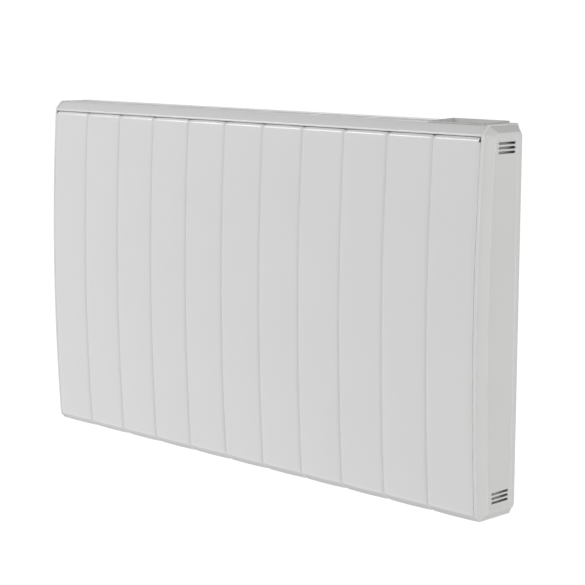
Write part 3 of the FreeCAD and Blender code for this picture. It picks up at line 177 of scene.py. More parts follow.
case_coat = powder_coat("case_coat", roughness=0.42, flow=0.1)
dress(case_coat, "back_panel", "base_grille", "side_plate_left", "side_plate_right")
dress(zinc, "top_rail")

# Radiant side
# Behind the strips lie a printed graphite film and a light mineral board, held on spacers in front of a
# zinc heat shield.
FILM = (0.035, 0.036, 0.04, 1)
FILM_TRACK = (0.11, 0.10, 0.09, 1)
FIBRE = (0.72, 0.66, 0.50, 1)
FIBRE_DARK = (0.52, 0.46, 0.33, 1)
TRACK_SCALE = 25.0
TRACK_RELIEF = 0.05 * MM
FIBRE_SCALE = 260
FIBRE_STRETCH = 6.0
FIBRE_RELIEF = 0.4 * MM


def stretched(place, x, y, z):
    """Coordinates drawn out, so that a pattern on them turns into lines."""
    return place.node("ShaderNodeMapping", {}, {"Vector": place, "Scale": (x, y, z)})


def bands(place, scale):
    """Even bands side by side along X."""
    inputs = {"Vector": place, "Scale": scale, "Distortion": 0.0}
    return place.node("ShaderNodeTexWave", {"bands_direction": "X"}, inputs, "Fac")


def graphite_film():
    """Printed heating film: upright graphite tracks on a dark carrier."""
    place, wear = new_finish("graphite_film", Roughness=0.55)
    tracks = bands(place, TRACK_SCALE)
    return wear(Base_Color=blend_of(tracks, FILM, FILM_TRACK), Normal=relief(tracks, TRACK_RELIEF))


def fibre_board():
    """Pressed mineral fibre: short pale fibres that lie mostly level."""
    place, wear = new_finish("fibre_board", Roughness=0.95)
    fibres = noise(stretched(place, 1.0, 1.0, FIBRE_STRETCH), FIBRE_SCALE, detail=6.0)
    return wear(Base_Color=blend_of(fibres, FIBRE_DARK, FIBRE), Normal=relief(fibres, FIBRE_RELIEF))


dress(graphite_film(), "radiant_mat")
dress(fibre_board(), "radiant_backing")
dress(zinc, "heat_shield", "shield_spacers")

# Convector element
# An extruded aluminium cross of fins on a rod, carried in ceramic bushes by two zinc brackets low in the
# air channel. Drawing the fins leaves fine lines along them. The thermal cutout's case is aluminium too.
ALUMINIUM = (0.74, 0.75, 0.76, 1)
ALUMINIUM_DARK = (0.58, 0.59, 0.60, 1)
CERAMIC = (0.86, 0.83, 0.74, 1)
CERAMIC_SPECK = (0.70, 0.65, 0.54, 1)
LINE_SCALE = 3.0
LINE_ALONG = 8.0
LINE_ACROSS = 700.0
LINE_RELIEF = 0.02 * MM
SPECK_SCALE = 1400
SPECK_RELIEF = 0.05 * MM


def drawn_metal(name, light, dark):
    """Metal drawn along X, with fine lines that way."""
    place, wear = new_finish(name, Metallic=1.0)
    lines = noise(stretched(place, LINE_ALONG, LINE_ACROSS, LINE_ACROSS), LINE_SCALE, detail=4.0)
    return wear(Base_Color=blend_of(lines, dark, light), Roughness=0.28 + 0.2 * lines,
                Normal=relief(lines, LINE_RELIEF))


def fired_ceramic():
    """Fired steatite: off-white, matt, with darker specks."""
    place, wear = new_finish("fired_ceramic", Roughness=0.6)
    specks = noise(place, SPECK_SCALE, detail=4.0)
    return wear(Base_Color=blend_of(specks, CERAMIC_SPECK, CERAMIC), Normal=relief(specks, SPECK_RELIEF))


aluminium = drawn_metal("drawn_aluminium", ALUMINIUM, ALUMINIUM_DARK)
ceramic = fired_ceramic()
dress(aluminium, "convector_element", "thermal_cutout")
dress(ceramic, "element_bush_left", "element_bush_right", "terminal_block")
dress(zinc, "element_bracket_left", "element_bracket_right")

# Electrical compartment
# Behind a zinc partition: a power board on standoffs with its relay, choke and plugs, a ribbon up to the
# control board, the leads, and the room sensor in its clip behind the lower vents. The gland takes the mains
# cable through the base.
LAMINATE = (0.020, 0.125, 0.050, 1)
LAMINATE_TRACK = (0.045, 0.21, 0.085, 1)
BLACK = (0.018, 0.018, 0.019, 1)
BLACK_WORN = (0.035, 0.035, 0.037, 1)
SLEEVE = (0.56, 0.55, 0.52, 1)
SLEEVE_DARK = (0.44, 0.43, 0.41, 1)
COPPER_SCALE = 160.0
COPPER_EDGE = 0.42
COPPER_RELIEF = 0.04 * MM
MOULD_CLOUDS = 14
MOULD_GRAIN = 1500
MOULD_RELIEF = 0.01 * MM
CORE_SCALE = 250.0
CORE_RELIEF = 0.2 * MM


def circuit_laminate():
    """Green lacquered board: square-cornered copper tracks show through as a lighter green."""
    place, wear = new_finish("circuit_laminate", Roughness=0.35, Coat_Weight=0.3)
    tracks = place.node("ShaderNodeTexVoronoi", {"feature": "F1", "distance": "CHEBYCHEV"},
                        {"Vector": place, "Scale": COPPER_SCALE})
    edge = tracks.math("GREATER_THAN", tracks, COPPER_EDGE)
    return wear(Base_Color=blend_of(edge, LAMINATE, LAMINATE_TRACK), Normal=relief(edge, COPPER_RELIEF))


def moulded(name, light, shade, roughness):
    """Moulded plastic with a fine spark-eroded grain and a faint unevenness of shade."""
    place, wear = new_finish(name)
    clouds = noise(place, MOULD_CLOUDS, detail=3.0)
    skin = noise(place, MOULD_GRAIN, detail=3.0)
    return wear(Base_Color=blend_of(clouds, shade, light), Roughness=roughness + 0.08 * skin,
                Normal=relief(skin, MOULD_RELIEF))


def ribbed_ribbon():
    """Flat cable: parallel grey conductors side by side."""
    place, wear = new_finish("ribbed_ribbon", Roughness=0.5)
    cores = bands(place, CORE_SCALE)
    return wear(Base_Color=blend_of(cores, SLEEVE_DARK, SLEEVE), Normal=relief(cores, CORE_RELIEF))


laminate = circuit_laminate()
black = moulded("black_moulding", BLACK_WORN, BLACK, roughness=0.45)
sleeve = moulded("silicone_sleeve", SLEEVE, SLEEVE_DARK, roughness=0.5)
plated = drawn_metal("plated_steel", ZINC, ZINC_DARK)
dress(zinc, "partition")
dress(laminate, "power_board", "control_board")
dress(black, "board_parts", "tact_switches", "sensor_clip", "cable_gland", "gland_nut")
dress(sleeve, "board_leads", "element_lead", "room_sensor")
dress(ribbed_ribbon(), "ribbon_cable")
dress(plated, "board_standoffs", "power_screws", "control_screws")

# Front panel
# One steel sheet pressed into eleven upright strips with soft V grooves between them. Its face bows gently
# from top to foot, rolls back at the top into a flange, and bends back twice at the foot.
STRIPS = 11
GROOVE_HALF = 3.0 * MM
GROOVE_DEPTH = 2.5 * MM
GROOVE_ROUND = 0.7 * MM
SHOULDER_ROUND = 1.7 * MM
CROWN = 0.6 * MM
CROWN_STEPS = 8
FRONT_SHEET = 0.8 * MM
BOW_RISE = 9.3 * MM
BEVEL_TOP = 13.3 * MM
BEVEL_FOOT = 11.8 * MM
TOP_BEND = 6.5 * MM
FOOT_BEND = 8.0 * MM
EDGE_SET_BACK = 0.6 * MM
EDGE_DROP = 3.6 * MM
RELIEF = Vector((5.6 * MM, 30.0 * MM, 14.0 * MM))
FIT_GAP = 0.3 * MM
BOW_STEPS = 28
BEND_STEPS = 8
ACROSS = Vector((1, 0, 0))
CREASE = math.radians(35)
WELD = 0.001 * MM

case_low, case_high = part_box("end_cap_right")
panel_low, panel_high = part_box("front_panel")
edge_y = case_low.y + BOW_RISE
bow_low = case_low.z + BEVEL_FOOT
bow_high = case_high.z - BEVEL_TOP
bow_half = (bow_high - bow_low) / 2
bow_radius = (bow_half ** 2 + BOW_RISE ** 2) / (2 * BOW_RISE)
bow_centre = Vector((0, case_low.y + bow_radius, (bow_high + bow_low) / 2))


def chain(shape, points):
    """A row of edges through points."""
    corners = [shape.verts.new(point) for point in points]
    for pair in zip(corners, corners[1:]):
        shape.edges.new(pair)
    return corners


def round_corners(shape, corners, width, segments=3):
    """Round the corners of a row of edges."""
    bmesh.ops.bevel(shape, geom=corners, offset=width, affect="VERTICES", segments=segments, profile=0.5,
                    material=-1)


def drag(shape, edges, way):
    """Draw a row of edges along a straight way, leaving a sheet behind; gives the row at the end."""
    drawn = bmesh.ops.extrude_edge_only(shape, edges=edges)["geom"]
    corners = [part for part in drawn if isinstance(part, bmesh.types.BMVert)]
    bmesh.ops.translate(shape, verts=corners, vec=way)
    return [part for part in drawn if isinstance(part, bmesh.types.BMEdge)]


def bend(shape, edges, centre, start, end, steps):
    """Turn a row of edges about an X axis through centre, from the direction of start to that of end."""
    angle = (start - centre).yz.angle_signed((end - centre).yz)
    turned = bmesh.ops.spin(shape, geom=edges, cent=centre, axis=ACROSS, angle=-angle, steps=steps)
    return [part for part in turned["geom_last"] if isinstance(part, bmesh.types.BMEdge)]


def weld(shape):
    """Join corners that lie on one another."""
    bmesh.ops.remove_doubles(shape, verts=shape.verts, dist=WELD)


def face_outwards(shape, direction):
    """Turn a sheet's faces so that those that look along a direction look outwards."""
    bmesh.ops.recalc_face_normals(shape, faces=shape.faces)
    if sum(face.normal.dot(direction) * face.calc_area() for face in shape.faces) < 0:
        bmesh.ops.reverse_faces(shape, faces=shape.faces)


def strip_row(shape):
    """The section across all strips at the back of the foot flange, as a row of edges along X."""
    pitch = (panel_high.x - panel_low.x) / STRIPS
    points = []
    for strip in range(STRIPS):
        start = panel_low.x + strip * pitch + (GROOVE_HALF if strip else EDGE_SET_BACK)
        end = panel_low.x + (strip + 1) * pitch - (GROOVE_HALF if strip < STRIPS - 1 else EDGE_SET_BACK)
        points.append((start - GROOVE_HALF, GROOVE_DEPTH) if strip else (start, EDGE_DROP))
        for step in range(CROWN_STEPS + 1):
            share = step / CROWN_STEPS
            points.append((start + share * (end - start), CROWN * (2 * share - 1) ** 2))
    points.append((end, EDGE_DROP))
    corners = chain(shape, [(x, panel_high.y, case_low.z + depth) for x, depth in points])
    per_strip = CROWN_STEPS + 2
    valleys = corners[per_strip:-1:per_strip]
    shoulders = [corner for index, corner in enumerate(corners) if index % per_strip in (1, per_strip - 1)]
    round_corners(shape, valleys, GROOVE_ROUND)
    round_corners(shape, shoulders, SHOULDER_ROUND)
    return shape.edges[:]


def carve(shape, cutter):
    """The shape without the cutter's volume; both are closed, and the Boolean modifier does the cut."""
    bmesh.ops.recalc_face_normals(cutter, faces=cutter.faces)
    holders = []
    for part in (shape, cutter):
        mesh = bpy.data.meshes.new("carving")
        part.to_mesh(mesh)
        part.free()
        holder = bpy.data.objects.new("carving", mesh)
        bpy.context.scene.collection.objects.link(holder)
        holders.append(holder)
    boolean = holders[0].modifiers.new("carve", "BOOLEAN")
    boolean.operation = "DIFFERENCE"
    boolean.solver = "EXACT"
    boolean.object = holders[1]
    rest = bmesh.new()
    rest.from_object(holders[0], bpy.context.evaluated_depsgraph_get())
    for holder in holders:
        mesh = holder.data
        bpy.data.objects.remove(holder)
        bpy.data.meshes.remove(mesh)
    weld(rest)
    return rest


def press_front():
    """The strips' section led round the panel's side path, thickened inwards, its top corners relieved."""
    shape = bmesh.new()
    slope = Vector((0, -1, 1)).normalized()
    foot_spoke = Vector((0, 1, 1)).normalized() * FOOT_BEND
    # Both foot bends have their centres on a line beside the foot's slope, where y and z add up to this
    bend_line = edge_y + bow_low + FOOT_BEND * math.sqrt(2)
    turn_z = case_low.z + FOOT_BEND
    turn = Vector((0, bend_line - turn_z, turn_z))
    turn_start = turn - Vector((0, 0, FOOT_BEND))
    turn_end = turn - foot_spoke
    # The second one also touches the inside of the bow
    side = bow_centre.y + bend_line - bow_centre.z
    product = (bow_centre.y ** 2 + (bend_line - bow_centre.z) ** 2 - (bow_radius - FOOT_BEND) ** 2) / 2
    knee_y = (side - math.sqrt(side ** 2 - 4 * product)) / 2
    knee = Vector((0, knee_y, bend_line - knee_y))
    knee_start = knee - foot_spoke
    knee_end = bow_centre + (knee - bow_centre).normalized() * bow_radius
    crest_z = panel_high.z - TOP_BEND
    crest_y = bow_centre.y - math.sqrt((bow_radius - TOP_BEND) ** 2 - (crest_z - bow_centre.z) ** 2)
    crest = Vector((0, crest_y, crest_z))
    crest_start = bow_centre + (crest - bow_centre).normalized() * bow_radius
    crest_end = crest + Vector((0, 0, TOP_BEND))
    flange_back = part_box("heat_shield")[0].y - FIT_GAP

    row = strip_row(shape)
    row = drag(shape, row, Vector((0, turn.y - panel_high.y, 0)))
    row = bend(shape, row, turn, turn_start, turn_end, BEND_STEPS)
    row = drag(shape, row, slope * (knee_start - turn_end).length)
    row = bend(shape, row, knee, knee_start, knee_end, BEND_STEPS)
    row = bend(shape, row, bow_centre, knee_end, crest_start, BOW_STEPS)
    row = bend(shape, row, crest, crest_start, crest_end, BEND_STEPS)
    drag(shape, row, Vector((0, flange_back - crest_y, 0)))
    weld(shape)
    face_outwards(shape, Vector((0, -1, 0)))
    bmesh.ops.solidify(shape, geom=shape.faces[:], thickness=FRONT_SHEET)
    cutter = bmesh.new()
    for edge_x in (panel_low.x, panel_high.x):
        bmesh.ops.create_cube(cutter, size=1.0, matrix=Matrix.LocRotScale(
            Vector((edge_x, edge_y, panel_high.z)), None, RELIEF))
    return carve(shape, cutter)


def add_piece(shape, name, body, slot, finish, *nodes):
    """Make a bmesh a piece of the object: smooth but for its creases, and riding on a body."""
    mesh = bpy.data.meshes.new(name)
    shape.to_mesh(mesh)
    shape.free()
    mesh.shade_smooth()
    mesh.set_sharp_from_angle(angle=CREASE)
    mesh.materials.append(finish)
    thing = bpy.data.objects.new(name, mesh)
    bpy.context.scene.collection.objects.link(thing)
    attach(thing, body)
    if nodes:
        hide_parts(*nodes)


front_coat = powder_coat("front_coat", roughness=0.30, flow=0.5)
add_piece(press_front(), "pressed_front", "heater_case", "white_steel", front_coat, "front_panel")
dress(plated, "panel_screws_top", "panel_screws_foot")

# Top cover
# A folded steel sheet: a sloped band above the strips, the flat top with five rows of air outlet slots, and
# a short flange down the back that three screws hold. It has the same paint as the front.
COVER_SHEET = 1.5 * MM
BAND_GAP = 0.4 * MM
BAND_SET_BACK = 0.9 * MM
BAND_LIP = 2.5 * MM
BAND_RETURN = 7.0 * MM
TOP_RISE = 1.0 * MM
FOLD = 2.4 * MM
LIP_FOLD = 0.8 * MM
OUTLET_ROWS = 5
OUTLET_COLUMNS = 7
OUTLET_WIDTH = 4.0 * MM
OUTLET_PITCH = 6.4 * MM
OUTLET_FRONT = 5.0 * MM
OUTLET_RIB = 8.0 * MM
OUTLET_MARGIN = 14.0 * MM
POD_HOLE = 2.7 * MM
CUT_REACH = COVER_SHEET * 2
SLOT_STEPS = 8
FOLD_STEPS = 4

cover_low, cover_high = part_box("top_cover")
pod_low, pod_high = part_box("control_bezel")


def slot_block(shape, centre, along, across, through):
    """A round-ended bar that cuts one slot: along is its half length, across its half width."""
    radius = across.length
    side = along.normalized() * (along.length - radius)
    corners = []
    for end, turn in ((side, 1), (-side, -1)):
        for step in range(SLOT_STEPS + 1):
            angle = math.pi * (step / SLOT_STEPS - 0.5)
            spoke = along.normalized() * math.cos(angle) + across.normalized() * math.sin(angle)
            corners.append(shape.verts.new(centre - through + end + spoke * radius * turn))
    face = shape.faces.new(corners)
    raised = bmesh.ops.extrude_face_region(shape, geom=[face])["geom"]
    top = [part for part in raised if isinstance(part, bmesh.types.BMVert)]
    bmesh.ops.translate(shape, verts=top, vec=through * 2)


def fold_cover():
    """The cover's side profile drawn along X, thickened, then pierced."""
    shape = bmesh.new()
    band_z = panel_high.z + BAND_GAP
    lip_z = band_z + BAND_LIP
    fold_y = edge_y + BEVEL_TOP + BAND_SET_BACK
    start_x = panel_low.x + EDGE_SET_BACK
    back_z = cover_high.z + TOP_RISE
    lip_y = fold_y - (cover_high.z - lip_z)
    corners = chain(shape, [
        (start_x, lip_y + BAND_RETURN, band_z),
        (start_x, lip_y, band_z),
        (start_x, lip_y, lip_z),
        (start_x, fold_y, cover_high.z),
        (start_x, cover_high.y, back_z),
        (start_x, cover_high.y, cover_low.z),
    ])
    round_corners(shape, corners[1:3], LIP_FOLD, FOLD_STEPS)
    round_corners(shape, corners[3:5], FOLD, FOLD_STEPS)
    drag(shape, shape.edges[:], ACROSS * (panel_high.x - EDGE_SET_BACK - start_x))
    face_outwards(shape, Vector((0, 0, 1)))
    bmesh.ops.solidify(shape, geom=shape.faces[:], thickness=COVER_SHEET)
    cutter = bmesh.new()
    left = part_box("side_plate_left")[1].x + OUTLET_MARGIN
    column_pitch = (pod_low.x - OUTLET_MARGIN - left + OUTLET_RIB) / OUTLET_COLUMNS
    half_length = (column_pitch - OUTLET_RIB) / 2
    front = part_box("heat_shield")[1].y + OUTLET_FRONT
    for row in range(OUTLET_ROWS):
        for column in range(OUTLET_COLUMNS):
            centre = Vector((left + column_pitch * column + half_length,
                             front + OUTLET_PITCH * row + OUTLET_WIDTH / 2, cover_high.z))
            slot_block(cutter, centre, ACROSS * half_length,
                       Vector((0, OUTLET_WIDTH / 2, 0)), Vector((0, 0, CUT_REACH)))
    middle = (pod_low + pod_high) / 2
    middle.z = cover_high.z
    hole = pod_high - pod_low - Vector((POD_HOLE, POD_HOLE, 0)) * 2
    hole.z = CUT_REACH * 2
    bmesh.ops.create_cube(cutter, size=1.0, matrix=Matrix.LocRotScale(middle, None, hole))
    return carve(shape, cutter)


add_piece(fold_cover(), "folded_cover", "heater_case", "white_steel", front_coat, "top_cover")
dress(plated, "cover_screws")

# Control pod rim
# A moulded wedge-shaped rim that stands on the cover round the controls, low at the front and higher at the
# back. Its skirt drops through the cover's opening and clips under it.
POD_EASE = 0.5 * MM
# Painted shade: the rim is white moulding, but these two colours darken it to grey, standing in for the
# shade that its walls lie in.
RIM_WHITE_PAINTED_SHADE = (0.64, 0.635, 0.62, 1)
RIM_CLOUD_PAINTED_SHADE = (0.61, 0.605, 0.59, 1)
FLAT = math.radians(1)


def bevelled(shape, edges, width, segments=2):
    """Round off edges of a shape."""
    bmesh.ops.bevel(shape, geom=edges, offset=width, affect="EDGES", segments=segments, profile=0.5,
                    material=-1, clamp_overlap=True)


def eased_copy(node, width):
    """The solid of a node with its flat triangles joined and its sharp edges rounded off."""
    shape = bmesh.new()
    shape.from_mesh(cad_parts[node].data)
    weld(shape)
    bmesh.ops.dissolve_limit(shape, angle_limit=FLAT, verts=shape.verts, edges=shape.edges)
    sharp = [edge for edge in shape.edges if edge.is_manifold and edge.calc_face_angle() > CREASE]
    bevelled(shape, sharp, width)
    return shape


# The rim's finish carries that painted shade in its colour.
rim_painted_shade_mould = moulded("rim_painted_shade_mould", RIM_WHITE_PAINTED_SHADE, RIM_CLOUD_PAINTED_SHADE, roughness=0.45)
add_piece(eased_copy("control_bezel", POD_EASE), "pod_rim", "heater_case", "cap_plastic", rim_painted_shade_mould,
          "control_bezel")

# Control face and display
# A flat moulded face plate with a smoked window over the display. Grey liquid-crystal numerals show the set
# temperature.
FACE_GREY = (0.66, 0.66, 0.655, 1)
FACE_SHADE = (0.62, 0.62, 0.615, 1)
SMOKE = (0.012, 0.013, 0.015, 1)
SMOKE_LIGHT = (0.020, 0.022, 0.025, 1)
CRYSTAL = (0.30, 0.32, 0.32, 1)
CRYSTAL_DIM = (0.24, 0.26, 0.26, 1)
SMOKE_SCALE = 60
CRYSTAL_SCALE = 600
LENS_EASE = 0.2 * MM
DIGIT_HEIGHT = 9.0 * MM
DIGIT_WIDTH = 5.0 * MM
DIGIT_GAP = 3.2 * MM
STROKE = 0.9 * MM
SEGMENT_LIFT = 0.06 * MM
SEGMENT_POINT = 0.45 * STROKE
# Where each segment starts and ends, to the right or upwards, as shares of the numeral's width and height
SEGMENTS = {
    "top": ((0, 1), (1, 1)),
    "middle": ((0, 0.5), (1, 0.5)),
    "foot": ((0, 0), (1, 0)),
    "left_high": ((0, 0.5), (0, 1)),
    "left_low": ((0, 0), (0, 0.5)),
    "right_high": ((1, 0.5), (1, 1)),
    "right_low": ((1, 0), (1, 0.5)),
}
LIT = (
    ("top", "middle", "foot", "right_high", "left_low"),
    ("top", "foot", "left_high", "left_low", "right_high", "right_low"),
)


def smoked_window():
    """Smoked clear plastic: nearly black, with a polished face."""
    place, wear = new_finish("smoked_window", Coat_Weight=1.0, Coat_Roughness=0.03)
    haze = noise(place, SMOKE_SCALE)
    return wear(Base_Color=blend_of(haze, SMOKE, SMOKE_LIGHT), Roughness=0.08 + 0.04 * haze)


def liquid_crystal():
    """A display segment under the window: flat grey, a little uneven."""
    place, wear = new_finish("liquid_crystal")
    haze = noise(place, CRYSTAL_SCALE, detail=1.0)
    return wear(Base_Color=blend_of(haze, CRYSTAL_DIM, CRYSTAL), Roughness=0.4 + 0.1 * haze)


def numerals():
    """Two seven-segment numerals: each lit segment is a thin bar with pointed ends."""
    shape = bmesh.new()
    low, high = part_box("display_lens")
    start = (low + high) / 2 - Vector((DIGIT_WIDTH + DIGIT_GAP / 2, DIGIT_HEIGHT / 2, 0))
    for number, lit in enumerate(LIT):
        corner = start + Vector((number * (DIGIT_WIDTH + DIGIT_GAP), 0, 0))
        for name in lit:
            first, last = (corner + Vector((across * DIGIT_WIDTH, up * DIGIT_HEIGHT, 0))
                           for across, up in SEGMENTS[name])
            way = (last - first).normalized()
            side = Vector((way.y, way.x, 0))
            size = last - first + (side - way) * STROKE
            size.z = SEGMENT_LIFT * 2
            middle = (first + last) / 2
            middle.z = high.z
            bar = bmesh.ops.create_cube(shape, size=1.0, matrix=Matrix.LocRotScale(middle, None, size))
            edges = {edge for vert in bar["verts"] for edge in vert.link_edges}
            upright = [edge for edge in edges
                       if abs((edge.verts[0].co - edge.verts[1].co).z) > SEGMENT_LIFT]
            bevelled(shape, upright, SEGMENT_POINT, 1)
    return shape


dress(moulded("face_mould", FACE_GREY, FACE_SHADE, roughness=0.5), "control_face")
dress(black, "display_module")
add_piece(eased_copy("display_lens", LENS_EASE), "smoked_lens", "heater_case", "lens_glass", smoked_window(),
          "display_lens")
add_piece(numerals(), "display_numerals", "heater_case", "display_plastic", liquid_crystal())

# Push buttons
# Five small round buttons in a row before the display, soft grey, each with a white printed mark: power,
# mode bars, down, up and a ringed dot. Each presses a switch on the board below.
BUTTON_GREY = (0.34, 0.345, 0.35, 1)
BUTTON_SHADE = (0.30, 0.305, 0.31, 1)
MARK_WHITE = (0.82, 0.82, 0.82, 1)
MARK_SHADE = (0.74, 0.74, 0.74, 1)
BUTTON_STEM = 1.7 * MM
STEM_LENGTH = 1.2 * MM
FLANGE_WIDTH = 1.0 * MM
FLANGE_HEIGHT = 1.0 * MM
BUTTON_EASE = 0.5 * MM
EASE_STEPS = 4
DISH = 0.25 * MM
# The dish's side, as shares of the crown's radius and of the dish's depth
DISH_SIDE = (0.6, 0.7)
BUTTON_STEPS = 40
MARK_SIZE = 1.7 * MM
MARK_LIFT = 0.05 * MM
RING_INSIDE = 0.72 * MARK_SIZE
RING_STEPS = 24
POWER_GAP = math.radians(35)
POWER_BAR = (0.35 * MARK_SIZE, 1.1 * MARK_SIZE)
BAR_HALF = 0.14 * MARK_SIZE
MODE_HALF = 0.9 * MARK_SIZE
MODE_PITCH = 0.6 * MARK_SIZE
DOT_HALF = 0.2 * MARK_SIZE
ARROW_FOOT = 0.6 * MARK_SIZE
ARROW_TIP = 0.8 * MARK_SIZE


def turn_button(low, high):
    """A button turned about its upright axis: stem, flange, straight side, eased rim and dished crown."""
    shape = bmesh.new()
    centre = (low + high) / 2
    flange = (high.x - low.x) / 2
    radius = flange - FLANGE_WIDTH
    flange_low = low.z + STEM_LENGTH
    flange_high = flange_low + FLANGE_HEIGHT
    dish_out, dish_down = DISH_SIDE
    corners = chain(shape, [(centre.x + out, centre.y, z) for out, z in (
        (0, low.z),
        (BUTTON_STEM, low.z),
        (BUTTON_STEM, flange_low),
        (flange, flange_low),
        (flange, flange_high),
        (radius, flange_high),
        (radius, high.z),
        (radius * dish_out, high.z - DISH * dish_down),
        (0, high.z - DISH),
    )])
    round_corners(shape, [corners[6]], BUTTON_EASE, EASE_STEPS)
    bmesh.ops.spin(shape, geom=shape.verts[:] + shape.edges[:], cent=centre, axis=(0, 0, 1),
                   angle=2 * math.pi, steps=BUTTON_STEPS, use_merge=True)
    weld(shape)
    bmesh.ops.recalc_face_normals(shape, faces=shape.faces)
    return shape


def flat_mark(shape, points, top):
    """A thin printed plate with the given outline, just above a button's dished crown."""
    face = shape.faces.new([shape.verts.new((x, y, top)) for x, y in points])
    if face.normal.z < 0:
        face.normal_flip()
    bmesh.ops.solidify(shape, geom=[face], thickness=MARK_LIFT * 2)


def ring_sector(shape, centre, top, start, end):
    """A printed ring or part of one, as short quads."""
    for step in range(RING_STEPS):
        first, last = (start + (end - start) * (step + share) / RING_STEPS for share in (0, 1))
        points = [(centre.x + math.sin(angle) * radius, centre.y + math.cos(angle) * radius)
                  for angle, radius in ((first, RING_INSIDE), (first, MARK_SIZE),
                                        (last, MARK_SIZE), (last, RING_INSIDE))]
        flat_mark(shape, points, top)


def bar_mark(shape, centre, top, half, low, high):
    """A printed bar: its half width, and where it starts and ends before and behind the centre."""
    flat_mark(shape, [(centre.x - half, centre.y + low), (centre.x + half, centre.y + low),
                      (centre.x + half, centre.y + high), (centre.x - half, centre.y + high)], top)


def mark_for(name, centre, top):
    """The printed mark of one button."""
    shape = bmesh.new()
    if name == "power_button":
        ring_sector(shape, centre, top, POWER_GAP, 2 * math.pi - POWER_GAP)
        bar_mark(shape, centre, top, BAR_HALF, *POWER_BAR)
    elif name == "mode_button":
        for row in (-MODE_PITCH, 0, MODE_PITCH):
            bar_mark(shape, centre, top, MODE_HALF, row - BAR_HALF, row + BAR_HALF)
    elif name == "enter_button":
        ring_sector(shape, centre, top, 0, 2 * math.pi)
        bar_mark(shape, centre, top, DOT_HALF, -DOT_HALF, DOT_HALF)
    else:
        way = 1 if name == "up_button" else -1
        foot = centre.y - way * ARROW_FOOT
        flat_mark(shape, [(centre.x - MARK_SIZE, foot), (centre.x + MARK_SIZE, foot),
                          (centre.x, centre.y + way * ARROW_TIP)], top)
    weld(shape)
    return shape


button_mould = moulded("button_mould", BUTTON_GREY, BUTTON_SHADE, roughness=0.55)
mark_print = moulded("mark_print", MARK_WHITE, MARK_SHADE, roughness=0.6)
for name in ("power_button", "mode_button", "down_button", "up_button", "enter_button"):
    low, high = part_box(name)
    add_piece(turn_button(low, high), f"{name}_cap", name, "button_plastic", button_mould, name)
    mark = mark_for(name, (low + high) / 2, high.z - DISH + MARK_LIFT)
    add_piece(mark, f"{name}_mark", name, "button_plastic", mark_print)

# End caps
# Moulded caps that close both ends: a lip as deep as the case, a border that slopes in all round, and a
# flat face with a shallow sunk field and three vent slots at each end. Screws through the side plates hold
# them.
MOULD_WHITE = (0.79, 0.79, 0.78, 1)
MOULD_SHADE = (0.76, 0.76, 0.75, 1)
CAP_LIP = 3.6 * MM
LIP_RECESS = 1.5 * MM
CAP_STEP = 2.0 * MM
CAP_INSET = 10.8 * MM
CAP_FOOT_RISE = 1.8 * MM
FOOT_BORDER = 2.3 * MM
CAP_WALL = 2.2 * MM
CAP_DRAFT = 0.1 * MM
CAP_GAP = 0.7 * MM
CORNER_CUT = Vector((0, 3.0 * MM, 5.0 * MM))
FIELD_CUT = Vector((0, 2.0 * MM, 3.0 * MM))
FACE_BACK = 1.2 * MM
LEAST_CUT = 1.0 * MM
FIELD_DEPTH = 0.7 * MM
FIELD_FRONT = 2.7 * MM
FIELD_ENDS = 6.0 * MM
FIELD_BACK = 8.0 * MM
LIP_ROUND = 0.8 * MM
FACET_ROUND = 2.0 * MM
FIELD_ROUND = 0.3 * MM
VENT_LENGTH = 37.0 * MM
VENT_HEIGHT = 3.7 * MM
VENT_PITCH = 6.15 * MM
VENT_TOP = 25.0 * MM
VENT_FOOT = 29.2 * MM
VENT_BACK = 23.0 * MM
VENTS = 3


def cap_ring(shape, x, inset, cut, more_top=0.0, more_foot=0.0, more_back=0.0):
    """A closed row of edges like the case's end: bowed front, sloped shoulders, cut back corners."""
    known = len(shape.verts)
    front = edge_y + LIP_RECESS + inset
    radius = bow_radius - LIP_RECESS - inset
    diagonal = inset * math.sqrt(2)
    top = case_high.z - inset - more_top
    foot = case_low.z + CAP_FOOT_RISE + inset + more_foot
    back = case_high.y - inset - more_back
    low = max(bow_low - LIP_RECESS - inset + diagonal, foot + LEAST_CUT)
    high = min(bow_high + LIP_RECESS + inset - diagonal, top - LEAST_CUT)
    low_angle = math.asin((low - bow_centre.z) / radius)
    high_angle = math.asin((high - bow_centre.z) / radius)
    start = shape.verts.new((x, bow_centre.y - radius * math.cos(low_angle), low))
    bmesh.ops.spin(shape, geom=[start], cent=bow_centre, axis=ACROSS, angle=low_angle - high_angle,
                   steps=BOW_STEPS)
    shape.verts.ensure_lookup_table()
    ends = sorted((corner for corner in shape.verts[known:] if len(corner.link_edges) == 1),
                  key=lambda corner: corner.co.z)
    corners = chain(shape, [
        (x, front + top - high, top),
        (x, back - cut.y, top),
        (x, back, top - cut.z),
        (x, back, foot + cut.z),
        (x, back - cut.y, foot),
        (x, front + low - foot, foot),
    ])
    shape.edges.new((ends[1], corners[0]))
    shape.edges.new((corners[-1], ends[0]))
    shape.verts.ensure_lookup_table()
    return list({edge for corner in shape.verts[known:] for edge in corner.link_edges})


